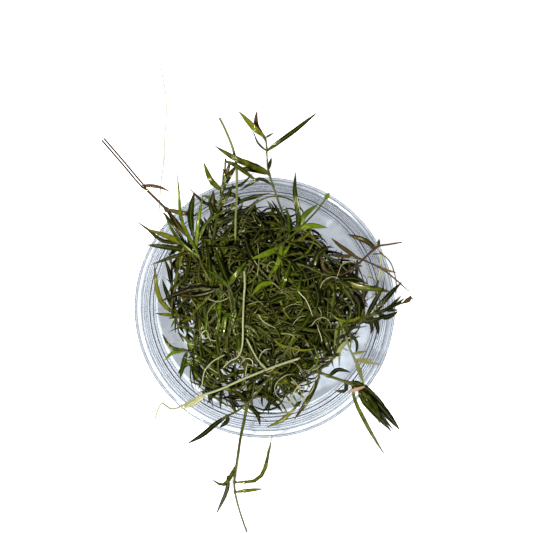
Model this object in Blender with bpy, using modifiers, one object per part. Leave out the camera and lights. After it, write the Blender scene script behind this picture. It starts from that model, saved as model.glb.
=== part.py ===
"""A cup of guppy grass: a clear round cup that holds a heap of cut strands, some over its rim.

Sizes in the tables are millimetres, and the meshes are metres, with +Z up. The origin is the middle
of the cup's flat foot. +Y points to the back, where the longest root lies on the table.

Every strand is one closed solid: a four-sided stem whose leaves are extruded from its sides. The
strands on top follow the heap's own look. The ones below are grown from a seed. No two of them
touch, because a row of beads along each one keeps its room free.
"""

import math
from typing import NamedTuple

import bmesh
import bpy
import numpy as np
from mathutils import Matrix, Vector

MM = 0.001

# The cup, from its axis outwards
RIM_RADIUS = 58.5
RIM_TOP = 45.0
RIM_DROP = 3.4
MOUTH_RADIUS = 55.4
SHOULDER_HEIGHT = 36.0
SHOULDER_STEP = 0.9
FLOOR_RADIUS = 49.5
CORNER_RADIUS = 2.4
FLOOR_TOP = 1.0
WALL = 0.7
CUP_STEPS = 44

# Room between pieces, and how finely a piece is watched for it
GAP = 0.35
BEAD_SPACING = 1.0
FACET_SAG = 0.25
OWN_REACH = 3.0

# Leaves and stems
STEM_SIDES = 4
STEM_STEP = 14.0
STEM_TURN = 27.0
NODE_HALF = 0.45
LEAF_THICK = 0.42
LEAF_RING_STEP = 11.0
FIRST_RING = 0.38
LAST_RING = 0.8
UPRIGHT = 0.35
SHAPE_PLACES = (0.0, 0.3, 0.6, 0.82, 1.0)
SHAPE_WIDTHS = (0.55, 1.0, 0.88, 0.55, 0.16)
LEAF_LIFTS = (0, 0.8, -0.8, 1.6, -1.6, 2.6, -2.6, 3.8, -3.8, 5.2, -5.2, 7.0, -7.0, 9.0)
STEM_LIFTS = (0, 0.8, -0.8, 1.6, -1.6, 2.4, 3.2, -2.4, 4.2, 5.4, 6.6)

# The strands that fill the heap from below
SEED = 42
HIDDEN_STRANDS = 17
HIDDEN_LENGTHS = (44.0, 80.0)
HIDDEN_RADIUS = 0.5
HEAP_TOP = 57.0
HEAP_FALL = 7.0
WHORL_STEP = 10.5
WHORL_LEAVES = 2
LEAF_LENGTHS = (11.0, 17.0)
LEAF_WIDTHS = (1.5, 2.1)
# How far the heap reaches from the cup's axis, at each bearing in degrees from +X
HEAP_BEARINGS = (0, 20, 45, 62, 90, 112, 135, 160, 180, 205, 225, 250, 270, 290, 310, 330, 345, 360)
HEAP_REACHES = (48, 48, 37, 38, 45, 48, 47, 42, 41, 41, 44, 47, 48, 45, 36, 39, 43, 48)

# The heap is drawn as it looks from straight above, at the rim's height, from this place
EYE = (0.8, 18.5, 645.0)

COLOURS = {
    "cup_plastic": (0.80, 0.85, 0.89),
    "grass_fresh": (0.16, 0.25, 0.025),
    "grass_olive": (0.115, 0.15, 0.018),
    "grass_dark": (0.045, 0.075, 0.012),
    "grass_brown": (0.13, 0.075, 0.035),
    "grass_pale": (0.42, 0.47, 0.22),
    "root_pale": (0.68, 0.70, 0.45),
}


class Leaf(NamedTuple):
    """A leaf: the share of the stem where it grows, its width, and the points that it passes."""

    at: float
    wide: float
    through: list


class Strand(NamedTuple):
    """A strand: its stem's radius and points, seen from above with a height, and its leaves."""

    name: str
    tone: str
    radius: float
    stem: list
    leaves: list = []


TOP_STRANDS = [
    Strand("cut_stem_back_left", "grass_brown", 0.62,
           [(-12, 8, 50), (-25, 20, 49.5), (-35, 33, 49), (-42.5, 42.5, 48.4),
            (-54.5, 54.5, 48.6), (-63, 64.5, 48), (-72.5, 75.5, 47)],
           [Leaf(0.70, 1.6, [(-47.5, 54.3, 49.8), (-41, 51.5, 49)]),
            Leaf(0.53, 1.8, [(-36, 42.3, 51), (-30, 41, 50)]),
            Leaf(0.53, 1.6, [(-39, 37, 50.5), (-34, 31, 51)])]),
    Strand("left_spray", "grass_olive", 0.5,
           [(-36, 29.5, 51), (-33, 24.5, 51.5), (-28, 18, 52.5), (-20, 11.5, 53), (-11, 4, 53)],
           [Leaf(0.03, 1.8, [(-46, 30, 51.5), (-52, 34.8, 51), (-58.5, 39.5, 49)]),
            Leaf(0.03, 2.3, [(-44, 32.3, 53), (-53.2, 35.6, 53.5)]),
            Leaf(0.13, 2.1, [(-43, 27, 48.5), (-53.5, 28.3, 47.6)]),
            Leaf(0.03, 1.4, [(-40, 36, 53), (-46, 43, 52)]),
            Leaf(0.30, 1.3, [(-37, 22.6, 50), (-43.5, 22.4, 48)])]),
    Strand("bright_left", "grass_fresh", 0.55,
           [(-16, -14, 50), (-18, -4, 51), (-21, 6, 52), (-26, 15, 52.5), (-29.5, 23, 53.5),
            (-32.3, 33, 54)],
           [Leaf(0.99, 2.4, [(-33.2, 42, 54), (-31.5, 52.5, 51.5)]),
            Leaf(0.88, 1.5, [(-29.6, 40, 57.5), (-27.5, 51, 58)]),
            Leaf(0.80, 1.3, [(-34, 32, 56.5), (-37.6, 40, 57.5), (-38.3, 50, 58), (-39.3, 61.5, 56)]),
            Leaf(0.55, 1.9, [(-25, 21, 54.5), (-26, 29, 55)]),
            Leaf(0.30, 1.8, [(-25, -2, 52), (-30, -8, 50)])]),
    Strand("back_left_column", "grass_dark", 0.6,
           [(-24, 24, 50), (-22.5, 34, 51), (-20.5, 44, 51), (-19, 52, 51.5), (-18, 60, 52.5),
            (-17.5, 67, 53)],
           [Leaf(0.66, 2.0, [(-24, 57, 54), (-27.5, 65.5, 54)]),
            Leaf(0.70, 2.0, [(-16, 59, 54.8), (-12.6, 64, 55)]),
            Leaf(0.52, 1.5, [(-25, 49.5, 50), (-28.3, 50.3, 49)]),
            Leaf(0.42, 2.2, [(-23.3, 46, 53.5), (-23, 53, 54)]),
            Leaf(0.60, 1.7, [(-15, 51, 52.5), (-9.5, 47, 51)]),
            Leaf(0.25, 1.9, [(-27, 37, 49), (-31, 43, 47.8)]),
            Leaf(0.97, 1.7, [(-13, 63.8, 56), (-8, 60.2, 56.5), (-2.5, 56, 56)])]),
    Strand("back_spray", "grass_olive", 0.45,
           [(10, 33, 48), (8, 42, 49.5), (5, 51, 51), (2, 60, 52.5), (1.2, 65, 53.5),
            (0.9, 70, 54), (0.7, 74, 54.5), (-0.5, 77.3, 55)],
           [Leaf(0.62, 2.4, [(-3, 62.8, 55), (-13, 66.8, 57.5), (-23, 73, 56)]),
            Leaf(0.62, 2.3, [(-5, 62, 52.8), (-13, 62.2, 51.5)]),
            Leaf(0.50, 1.3, [(-2, 57.8, 50), (-7, 55, 49), (-12, 52, 48.8)]),
            Leaf(0.66, 1.3, [(3.2, 67.5, 55.5)]),
            Leaf(0.84, 1.9, [(6, 74, 55.5), (13, 79, 56), (24.3, 88, 54)]),
            Leaf(0.84, 1.1, [(-3, 73.5, 53.5), (-5, 78, 53.2), (-7.5, 82, 52.6)]),
            Leaf(0.99, 2.3, [(-5, 81, 56.5), (-12.2, 88.7, 55)]),
            Leaf(0.97, 2.0, [(-3.3, 80.5, 54.2), (-4, 84, 54), (-3.3, 89, 53)]),
            Leaf(0.97, 0.9, [(4.5, 78.6, 54)])]),
    Strand("pale_stem_back", "grass_pale", 0.6,
           [(-20.2, 85, 44), (-17.3, 79, 48.5), (-14, 70.5, 52.5), (-12.6, 62, 56), (-12.5, 50, 58),
            (-13, 40, 58.5), (-13.2, 31, 58)]),
    Strand("bright_tip_back_right", "grass_fresh", 0.5,
           [(-2, 20, 55), (6, 27, 54.5), (14, 34, 53.5), (20, 40, 52), (24, 44.3, 51),
            (27.6, 49.3, 50)],
           [Leaf(0.52, 2.0, [(15, 42, 55.5), (13.5, 52, 57), (13.8, 61, 55.5)]),
            Leaf(0.55, 2.1, [(20, 36.8, 54), (28, 36, 52)]),
            Leaf(0.58, 2.1, [(17.5, 41, 54.5), (24, 46.5, 54)]),
            Leaf(0.40, 1.7, [(10.7, 39, 54.5), (9.5, 45.5, 55)]),
            Leaf(0.98, 1.8, [(29, 51.5, 50)]),
            Leaf(0.25, 2.2, [(0, 24, 57.5), (-6, 22, 58)]),
            Leaf(0.30, 1.9, [(6, 20, 57), (1, 13, 57)])]),
    Strand("right_stem", "grass_brown", 0.55,
           [(22, 8, 51), (28, 11, 51.5), (34, 14, 52), (41, 19, 51.5), (50, 27, 50),
            (55, 28.3, 49.5), (61.5, 29.3, 48)],
           [Leaf(0.73, 2.0, [(45, 30, 51.8), (37, 33, 51)]),
            Leaf(0.70, 1.1, [(46.6, 29.6, 53.2)]),
            Leaf(0.76, 1.2, [(51.3, 31, 51.5)]),
            Leaf(0.30, 1.6, [(27, 17, 53.5), (25, 25, 54)])]),
    Strand("right_branch", "grass_dark", 0.6,
           [(24, -14, 50), (30, -10, 50.5), (38, -7.5, 50.5), (46, -4, 50), (52, -1.8, 49.5),
            (58, 1, 48.6), (65, 3, 46)],
           [Leaf(0.58, 2.1, [(56, 6, 51.5), (61.5, 11.8, 51)]),
            Leaf(0.52, 1.9, [(50, 4, 53), (53.5, 9.5, 54)]),
            Leaf(0.56, 1.8, [(50, -7, 48.8), (51, -12.3, 47.5)]),
            Leaf(0.64, 2.0, [(54.5, -4.2, 49.4), (59.8, -1.6, 49)]),
            Leaf(0.50, 2.0, [(43, 1.5, 51.5), (40, 8, 52)]),
            Leaf(0.72, 1.4, [(59.6, -1, 48.4)]),
            Leaf(0.76, 1.1, [(61.3, 5.4, 49.5)]),
            Leaf(0.44, 2.0, [(42, 2.5, 52.5), (37, 7, 53)]),
            Leaf(0.47, 1.4, [(47, -7.2, 48.4)]),
            Leaf(0.97, 1.9, [(65.8, 6, 46.5)]),
            Leaf(0.30, 1.9, [(35, -2, 52), (32, 5, 53)])]),
    Strand("right_brown_stem", "grass_brown", 0.4,
           [(38, 24, 50), (44, 21.5, 50.5), (51, 18.3, 50), (55.5, 15.3, 49.5), (60, 11.5, 48.7),
            (64.8, 7.2, 47.5)],
           [Leaf(0.45, 1.1, [(55, 16.8, 51.5), (59.2, 15.8, 51.5)]),
            Leaf(0.10, 1.7, [(34, 27.5, 51), (29.5, 31.5, 51)]),
            Leaf(0.05, 1.5, [(33, 23, 52), (26, 24, 53)])]),
    Strand("dark_leaves_right", "grass_dark", 0.55,
           [(14, 20, 54), (20, 18, 54.5), (27, 15, 54.5), (34, 12.5, 54.5)],
           [Leaf(0.99, 2.4, [(42, 9.5, 55), (50, 8.5, 54.5), (57, 7, 53)]),
            Leaf(0.96, 2.0, [(40, 13.2, 56), (46, 10.8, 56)]),
            Leaf(0.95, 1.9, [(39, 7, 54.5), (44.5, 1, 53.5)]),
            Leaf(0.60, 2.1, [(24, 9, 56), (27, 1, 56)]),
            Leaf(0.40, 2.0, [(24, 24, 55), (30, 28, 54)])]),
    Strand("front_right_bundle", "grass_dark", 0.7,
           [(14, -22, 50), (25, -29, 50.5), (33, -32, 50.5), (40, -34.5, 50), (44, -37, 49.6)],
           [Leaf(0.99, 3.3, [(51, -43.2, 47), (60.8, -55, 37)]),
            Leaf(0.93, 2.4, [(43.6, -40.6, 47.6), (48.6, -46.4, 42), (57.3, -55.8, 32)]),
            Leaf(0.90, 1.9, [(43.5, -38, 52), (48, -42, 51.5), (52.5, -51, 46)]),
            Leaf(0.78, 2.1, [(41, -33.5, 49.8), (47, -37, 50), (53, -43.2, 49.4)]),
            Leaf(0.74, 1.8, [(36, -37, 50), (31, -37, 49.6)]),
            Leaf(0.84, 1.8, [(40.3, -41, 48), (44, -49, 43), (49.5, -59, 34), (55, -67.5, 25)]),
            Leaf(0.50, 2.0, [(33, -27.5, 52), (39, -29, 52)])]),
    Strand("front_right_shoot", "grass_pale", 0.5,
           [(33, -4, 50.5), (36, -12, 51), (38, -18, 51.5), (41, -24.5, 51.8)],
           [Leaf(0.99, 2.0, [(43, -30.5, 54), (44.8, -35.6, 55.5)]),
            Leaf(0.96, 1.0, [(47, -24.7, 52), (53, -25.2, 50.5)]),
            Leaf(0.94, 1.3, [(48.7, -23.2, 53.5)]),
            Leaf(0.80, 1.1, [(45.6, -19.4, 53)]),
            Leaf(0.52, 1.8, [(34, -18, 53), (30.5, -23.5, 53)])]),
    Strand("front_inner_leaf", "grass_olive", 0.5,
           [(17, -12, 52), (20, -18, 52), (23, -25, 51.5), (24.5, -31, 50.8)],
           [Leaf(0.99, 1.9, [(20, -40, 49), (16, -46, 48), (13, -50.3, 46.8)]),
            Leaf(0.40, 1.8, [(15, -19, 54), (12, -14, 55)]),
            Leaf(0.65, 1.8, [(29, -22, 53), (34, -21, 53)])]),
    Strand("front_sprig", "grass_olive", 0.45,
           [(4, -28, 50.5), (6, -34, 50), (10, -40, 49.5), (14, -45, 48.5)],
           [Leaf(0.98, 1.6, [(8, -50, 48), (0.5, -53.6, 47)]),
            Leaf(0.96, 1.3, [(16.5, -41.5, 50)]),
            Leaf(0.60, 1.7, [(3, -42, 50), (-1, -47, 49)]),
            Leaf(0.30, 1.7, [(11, -33, 51.5), (16, -37, 51.5)])]),
    Strand("front_trailer", "grass_olive", 0.7,
           [(-6, -32, 50.3), (-7.5, -40, 49.8), (-8.5, -47, 49.2), (-10.8, -58, 47.9), (-12, -66, 43.5),
            (-13.2, -74, 36), (-13.5, -81, 27.5), (-11.5, -90, 15), (-8, -100.5, 1.6)],
           [Leaf(0.52, 1.7, [(-16.2, -75, 35.5), (-17, -82, 28), (-22, -93, 14)]),
            Leaf(0.57, 1.6, [(-5, -77.6, 32), (-0.5, -73.5, 37), (1.6, -65, 44), (3.5, -56.5, 48)]),
            Leaf(0.65, 1.5, [(-10, -82, 27), (0, -81, 25.5)]),
            Leaf(0.12, 1.9, [(-3.5, -47.5, 50.5), (-2, -53, 50)])]),
    Strand("front_left_shoot", "grass_olive", 0.5,
           [(-1, -35, 51.5), (-6, -41, 51), (-12, -46, 50), (-17, -48.5, 49.3)],
           [Leaf(0.99, 2.0, [(-22, -52, 48.2), (-28, -57, 43), (-35, -61, 36.5)]),
            Leaf(0.96, 1.6, [(-17, -51, 48.8), (-20.5, -53.8, 48)]),
            Leaf(0.80, 1.9, [(-15, -42, 51.5), (-21, -40, 51.5)]),
            Leaf(0.50, 1.8, [(-11, -39, 52.5), (-16, -36, 53)])]),
    Strand("pale_runner", "root_pale", 0.55,
           [(16, -22.5, 55), (8, -25, 56), (0, -28, 56), (-10, -32, 55.5), (-20, -36.5, 53.5),
            (-30, -40, 51), (-37, -44, 48.7), (-41.5, -45.3, 46.5), (-44, -44, 44), (-46, -42.7, 41.5),
            (-47.8, -45.5, 37), (-49, -49.5, 31)]),
    Strand("left_column", "grass_dark", 0.6,
           [(-32, -11, 38), (-38, -5, 37), (-41.5, 4, 37), (-41.5, 12, 38), (-41.7, 19, 39.5),
            (-42.5, 24.5, 40)],
           [Leaf(0.98, 1.8, [(-38, 27.5, 41), (-34, 26.5, 42)]),
            Leaf(0.62, 1.6, [(-43, 17, 40.5), (-45, 22, 41)]),
            Leaf(0.30, 1.8, [(-44, 7, 39), (-46, 13, 39.5)])]),
    Strand("left_column_inner", "grass_olive", 0.5,
           [(-36, 26, 46), (-39, 18, 45), (-38.3, 10, 44), (-37.5, 2, 43), (-33, -5, 44)],
           [Leaf(0.27, 1.6, [(-35, 17.8, 46.5), (-29.5, 17, 47.5)]),
            Leaf(0.50, 1.8, [(-36, 13, 46), (-38, 15, 47)]),
            Leaf(0.80, 1.8, [(-39, -3, 44), (-43, -5, 44)])]),
    Strand("left_leaf", "grass_olive", 0.45,
           [(-26, -6, 47), (-32, -4.5, 47), (-39, -3, 46.5)],
           [Leaf(0.98, 1.8, [(-44.5, 0.5, 46), (-48, 7, 45.5), (-49.5, 20, 46.5)]),
            Leaf(0.90, 1.4, [(-44, -3, 45.5), (-49.3, -2.4, 44)]),
            Leaf(0.50, 1.9, [(-38, -7, 47.5), (-36, -12, 47)])]),
    Strand("left_cross", "grass_fresh", 0.45,
           [(-22, -22, 45), (-29, -20.5, 44), (-36, -19, 42.5)],
           [Leaf(0.98, 1.5, [(-42, -17.6, 42.5), (-46, -11.5, 43)]),
            Leaf(0.95, 1.5, [(-41, -20, 41), (-45, -23.5, 40)]),
            Leaf(0.90, 2.0, [(-36.3, -25, 40), (-38, -32, 38)]),
            Leaf(0.50, 2.1, [(-31, -26, 43), (-30, -33, 41)])]),
    Strand("left_wide_leaf", "grass_dark", 0.55,
           [(-8, 3, 56), (-13, 5.5, 56.5), (-19, 7, 56.5)],
           [Leaf(0.98, 2.6, [(-28, 8.6, 56), (-37, 7, 54.5), (-46.5, 3, 52.5)]),
            Leaf(0.45, 1.9, [(-14, -1, 54), (-21, -5.5, 53)])]),
    Strand("centre_fan", "grass_fresh", 0.55,
           [(-10, -20, 54.5), (-12, -12, 56), (-14, -3, 57.5), (-15.5, 4, 58.5), (-16.5, 11, 59.5)],
           [Leaf(0.99, 2.3, [(-19.5, 19, 61), (-22.5, 27, 60)]),
            Leaf(0.97, 2.3, [(-12, 16, 61), (-8, 21, 60.5)]),
            Leaf(0.95, 1.8, [(-21, 14, 60.5), (-26, 17, 59.5)]),
            Leaf(0.80, 1.9, [(-11, 9, 60.5), (-10.5, 14, 61.5)]),
            Leaf(0.55, 2.2, [(-17.5, -4, 58.5), (-18.5, -13, 57.5)]),
            Leaf(0.35, 2.1, [(-11.5, -17, 58.5), (-13, -25, 57.5)]),
            Leaf(0.40, 1.9, [(-6, -9, 58), (-2, -14, 58)])]),
    Strand("centre_green", "grass_fresh", 0.5,
           [(26, -4, 54), (19, 0, 55.5), (11, 5, 57), (4, 11, 57.5), (-3, 18, 57)],
           [Leaf(0.30, 2.2, [(15, 8, 59), (17, 16, 59)]),
            Leaf(0.50, 2.1, [(5, 4, 59), (-1, 0, 58.5)]),
            Leaf(0.60, 2.1, [(9, 13, 59.5), (12, 21, 59)]),
            Leaf(0.75, 2.1, [(-2, 10, 59.5), (-6, 5, 59)]),
            Leaf(0.97, 2.1, [(-7, 25, 58), (-9, 33, 57.5)]),
            Leaf(0.12, 2.0, [(24, 4, 56), (22, 12, 57)]),
            Leaf(0.15, 2.0, [(18, -7, 57), (13, -12, 57)])]),
]

# Strands at the heap's edge and low in it. Their leaves grow as the hidden ones' do
EDGE_STRANDS = [
    Strand("back_cross", "grass_dark", 0.5,
           [(-31, 27, 46), (-22, 34, 47), (-10, 38.5, 47.5), (2, 38.5, 47.5), (12, 35, 47)]),
    Strand("back_low", "grass_olive", 0.5,
           [(-27, 33, 38), (-16, 40, 40), (-4, 42.5, 41), (7, 40, 41), (17, 33, 40)]),
    Strand("front_cross", "grass_dark", 0.5,
           [(-31, -25, 44), (-22, -34, 45), (-10, -39, 45.5), (4, -39.5, 45.5), (15, -34, 45)]),
    Strand("front_left_cross", "grass_olive", 0.5,
           [(-35, -8, 40), (-33, -20, 41.5), (-25, -31, 42), (-14, -38, 42)]),
    Strand("right_cross", "grass_fresh", 0.5,
           [(31, -22, 43), (37, -12, 44), (41, -2, 45), (42, 9, 45.5), (38, 19, 46)]),
    Strand("left_back_cross", "grass_olive", 0.5,
           [(-37, 6, 43), (-35, 17, 44), (-29, 27, 45), (-20, 35, 45.5)]),
]

ROOTS = [
    Strand("back_left_root", "root_pale", 0.25,
           [(-34, 27, 48.5), (-41, 31.5, 47.5), (-46.2, 34.5, 46.3), (-48.3, 37.3, 44),
            (-48.5, 38.6, 25), (-48, 41, 6), (-47.2, 45.5, 1.2), (-46.8, 52, 0.6),
            (-46.3, 58, 0.6), (-45.2, 66, 0.6), (-44.9, 75, 0.6), (-44.2, 85, 0.6), (-44.2, 93, 0.6),
            (-44.9, 99, 0.6), (-46, 104.5, 0.6), (-46.9, 110, 0.6), (-49, 115.5, 0.6),
            (-51.7, 118, 0.6), (-53.5, 121, 0.6), (-53.6, 123.3, 0.6)]),
    Strand("right_root", "root_pale", 0.45,
           [(52.2, 26.2, 47.2), (52, 21.5, 47.3), (51.3, 15, 46.2), (50.2, 8, 44), (49.6, 3, 42)]),
    Strand("right_root_thin", "root_pale", 0.3,
           [(52.9, 16.6, 46.3), (53.2, 12, 44.8), (52.6, 7.5, 42), (51, 3.5, 38)]),
    Strand("rim_root", "grass_brown", 0.28,
           [(48.5, 24, 47), (52.4, 24, 46.3), (56.3, 20.3, 46.1), (58.2, 15, 46),
            (58.9, 10.5, 46), (58.7, 6.5, 45.9)]),
    Strand("centre_root", "root_pale", 0.42,
           [(-9.2, 16.5, 62.5), (-8.9, 10, 62.5), (-9.3, 5, 62), (-9.7, -5, 61.5), (-9.8, -14, 60.5),
            (-10.5, -19, 60), (-12.3, -22.3, 59.5), (-15.5, -23.8, 58.5), (-18.6, -26.8, 57)]),
    Strand("centre_root_diagonal", "root_pale", 0.42,
           [(-8, -14, 59.5), (-5, -20, 59), (-2.5, -24, 58.5), (1, -27.5, 58.3)]),
    Strand("front_left_root", "root_pale", 0.3,
           [(-18, -21, 55), (-23.5, -24.2, 54.5), (-27, -28.6, 53), (-28, -34, 51), (-29, -38, 49)]),
    Strand("front_curl_root", "root_pale", 0.33,
           [(19, -33, 52.5), (15.5, -34.6, 52.3), (13, -38, 51.5), (12, -41, 50.5), (11, -43.6, 49)]),
]


class Line:
    """The smooth curve through some points, with places on it found by distance."""

    def __init__(self, points, fineness=10):
        p = np.array(points, float)
        p = np.vstack([2 * p[0] - p[1], p, 2 * p[-1] - p[-2]])
        t = np.linspace(0, 1, fineness, endpoint=False)[:, None]
        runs = [0.5 * (2 * b + (c - a) * t + (2 * a - 5 * b + 4 * c - d) * t**2
                       + (3 * b - a - 3 * c + d) * t**3)
                for a, b, c, d in zip(p, p[1:], p[2:], p[3:])]
        self.points = np.vstack([*runs, p[-2:-1]])
        steps = np.linalg.norm(np.diff(self.points, axis=0), axis=1)
        self.distances = np.concatenate([[0], np.cumsum(steps)])
        self.length = self.distances[-1]
        ahead = np.diff(self.points, axis=0) / steps[:, None]
        turns = np.degrees(np.arccos(np.clip((ahead[1:] * ahead[:-1]).sum(axis=1), -1, 1)))
        self.effort = self.distances / STEM_STEP + np.concatenate([[0], np.cumsum(turns), [0]]) / STEM_TURN
        self.effort[-1] = self.effort[-2] + steps[-1] / STEM_STEP

    def at(self, distance):
        return Vector([np.interp(distance, self.distances, column) for column in self.points.T])

    def heading(self, distance):
        near = 0.02 * self.length
        return (self.at(distance + near) - self.at(distance - near)).normalized()

    def beads(self):
        places = np.linspace(0, self.length, max(2, int(self.length / BEAD_SPACING) + 1))
        return np.column_stack([np.interp(places, self.distances, c) for c in self.points.T])


class Heap:
    """Everything laid so far, as beads, so that a new piece can be shown to have room."""

    def __init__(self):
        self.centres = np.empty((0, 3))
        self.radii = np.empty(0)
        self.owners = np.empty(0, int)

    def has_room(self, beads, radii, owner, base=None):
        if not clear_of_cup(beads, radii):
            return False
        watched = self.owners != owner
        if base is not None:
            watched |= np.linalg.norm(self.centres - np.array(base), axis=1) > OWN_REACH
            beads, radii = beads[3:], radii[3:]
        apart = np.linalg.norm(self.centres[watched][None] - beads[:, None], axis=2)
        return bool((apart > self.radii[watched][None] + radii[:, None] + GAP).all())

    def add(self, beads, radii, owner):
        self.centres = np.vstack([self.centres, beads])
        self.radii = np.concatenate([self.radii, radii])
        self.owners = np.concatenate([self.owners, np.full(len(beads), owner)])


class Plant:
    """A strand as it lies: its stem's line and radius, and its leaves as place, line and width."""

    def __init__(self, name, tone, radius, line):
        self.name, self.tone, self.radius, self.line = name, tone, radius, line
        self.leaves = []


def inner_profile():
    """The cup's inside from the floor's edge to the rim, as radius and height."""
    return [
        (FLOOR_RADIUS, FLOOR_TOP),
        (FLOOR_RADIUS + CORNER_RADIUS, FLOOR_TOP + CORNER_RADIUS),
        (MOUTH_RADIUS - SHOULDER_STEP, SHOULDER_HEIGHT),
        (MOUTH_RADIUS - 0.2, SHOULDER_HEIGHT + 1.0),
        (MOUTH_RADIUS, RIM_TOP - 1.2),
        (MOUTH_RADIUS + 1.1, RIM_TOP),
    ]


def outer_profile():
    """The cup's outside from the rim's top down to the foot."""
    return [
        (RIM_RADIUS - 0.7, RIM_TOP),
        (RIM_RADIUS, RIM_TOP - 0.8),
        (RIM_RADIUS, RIM_TOP - RIM_DROP),
        (RIM_RADIUS - WALL, RIM_TOP - RIM_DROP),
        (RIM_RADIUS - WALL, RIM_TOP - 1.4),
        (MOUTH_RADIUS + WALL, RIM_TOP - 1.6),
        (MOUTH_RADIUS - 0.2 + WALL, SHOULDER_HEIGHT),
        (MOUTH_RADIUS - SHOULDER_STEP + WALL, SHOULDER_HEIGHT - 1.0),
        (FLOOR_RADIUS + CORNER_RADIUS + WALL, FLOOR_TOP + CORNER_RADIUS - 0.6),
        (FLOOR_RADIUS + 0.6, 0),
    ]


def clear_of_cup(beads, radii):
    """True where every bead is in the cup's hollow, over its rim or outside it, and off the table."""
    out = np.hypot(beads[:, 0], beads[:, 1])
    height = beads[:, 2]
    walls, heights = zip(*inner_profile())
    inner = np.interp(height, heights, walls)
    over = height > RIM_TOP + radii + GAP
    within = (out < inner - radii - GAP - FACET_SAG) & (height > FLOOR_TOP + radii + GAP)
    outside = (out > RIM_RADIUS + radii + GAP) & (height > radii)
    return bool((over | within | outside).all())


def below_eye(points, lift=0.0, pinned=False):
    """Points seen from above, put in their true place: a low one lies further out than it looks.

    A lift raises them. With pinned set it grows along the points, from nothing before the first.
    """
    placed = []
    for i, (x, y, z) in enumerate(points):
        share = (i + 1) / len(points) if pinned else min(1.0, max(0.0, (z - 2) / 40))
        z += lift * share
        spread = (EYE[2] - z) / (EYE[2] - RIM_TOP)
        placed.append((EYE[0] + (x - EYE[0]) * spread, EYE[1] + (y - EYE[1]) * spread, z))
    return placed


def leaf_radii(count, wide):
    """A leaf's half width at each of its beads."""
    return 0.5 * wide * np.interp(np.linspace(0, 1, count), SHAPE_PLACES, SHAPE_WIDTHS)


def lay_stem(heap, strand, owner):
    """The strand's stem, lifted or lowered until it has room, or None where it has none."""
    for lift in STEM_LIFTS:
        line = Line(below_eye(strand.stem, lift))
        beads = line.beads()
        radii = np.full(len(beads), strand.radius)
        if heap.has_room(beads, radii, owner):
            heap.add(beads, radii, owner)
            return Plant(strand.name, strand.tone, strand.radius, line)
    return None


def lay_leaf(heap, plant, leaf, owner):
    """Adds one drawn leaf to the plant, with its tip lifted or lowered until it has room."""
    place = leaf.at * plant.line.length
    base = plant.line.at(place)
    for lift in LEAF_LIFTS:
        line = Line([base, *below_eye(leaf.through, lift, pinned=True)])
        if add_if_free(heap, plant, place, line, leaf.wide, owner):
            return True
    return False


def add_if_free(heap, plant, place, line, wide, owner):
    beads = line.beads()
    radii = leaf_radii(len(beads), wide)
    if not heap.has_room(beads, radii, owner, base=beads[0]):
        return False
    heap.add(beads, radii, owner)
    plant.leaves.append((place, line, wide))
    return True


def heap_reach(x, y):
    bearing = math.degrees(math.atan2(y, x)) % 360
    return float(np.interp(bearing, HEAP_BEARINGS, HEAP_REACHES))


def in_heap(beads, margin=0.0):
    """True where every bead is inside the heap's outline and under its crown."""
    for x, y, z in beads:
        out = math.hypot(x, y)
        if out > heap_reach(x, y) + margin:
            return False
        if z > HEAP_TOP + margin - HEAP_FALL * (out / 45) ** 2:
            return False
    return True


def hidden_stem(heap, rng, owner):
    """A seeded stem somewhere in the heap, clear of what is there."""
    for _ in range(900):
        route = straight_route(rng) if owner % 2 else curled_route(rng)
        line = Line(route)
        beads = line.beads()
        radii = np.full(len(beads), HIDDEN_RADIUS)
        if in_heap(beads) and heap.has_room(beads, radii, owner):
            heap.add(beads, radii, owner)
            return line
    return None


def straight_route(rng):
    """Points across the heap's middle, a little bent."""
    out, bearing, heading = rng.uniform(0, 26), rng.uniform(0, 2 * math.pi), rng.uniform(0, 2 * math.pi)
    middle = np.array([out * math.cos(bearing), out * math.sin(bearing), hidden_height(rng)])
    ahead = np.array([math.cos(heading), math.sin(heading), rng.uniform(-0.25, 0.25)])
    bulge = np.array([-ahead[1], ahead[0], 0]) * rng.uniform(-9, 9)
    half = rng.uniform(*HIDDEN_LENGTHS) / 2
    return [middle + ahead * half * t + bulge * (1 - t * t) for t in (-1, -0.5, 0, 0.5, 1)]


def curled_route(rng):
    """Points round the heap's middle, at a share of its reach that drifts on the way."""
    share, drift, height = rng.uniform(0.62, 0.97), rng.uniform(-0.5, 0.1), hidden_height(rng)
    bearing, rise = rng.uniform(0, 360), rng.uniform(-11, 11)
    sweep = math.degrees(rng.uniform(*HIDDEN_LENGTHS) / (share * 42)) * rng.choice((-1, 1))
    points = []
    for t in (0, 0.25, 0.5, 0.75, 1):
        turned = (bearing + sweep * t) % 360
        out = (share + drift * t * t) * float(np.interp(turned, HEAP_BEARINGS, HEAP_REACHES))
        along = math.radians(turned)
        points.append((out * math.cos(along), out * math.sin(along), height + rise * (t - 0.5)))
    return points


def hidden_height(rng):
    return 5 + 47 * math.sqrt(rng.uniform(0, 1))


def grow_whorls(heap, plant, rng, owner):
    """Leaves at even steps along a stem, each turned until it finds room."""
    for place in np.arange(WHORL_STEP / 2, plant.line.length - 1, WHORL_STEP):
        for k in range(WHORL_LEAVES):
            grow_leaf(heap, plant, rng, owner, place, math.pi * k + rng.normal(0, 0.5))


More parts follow.
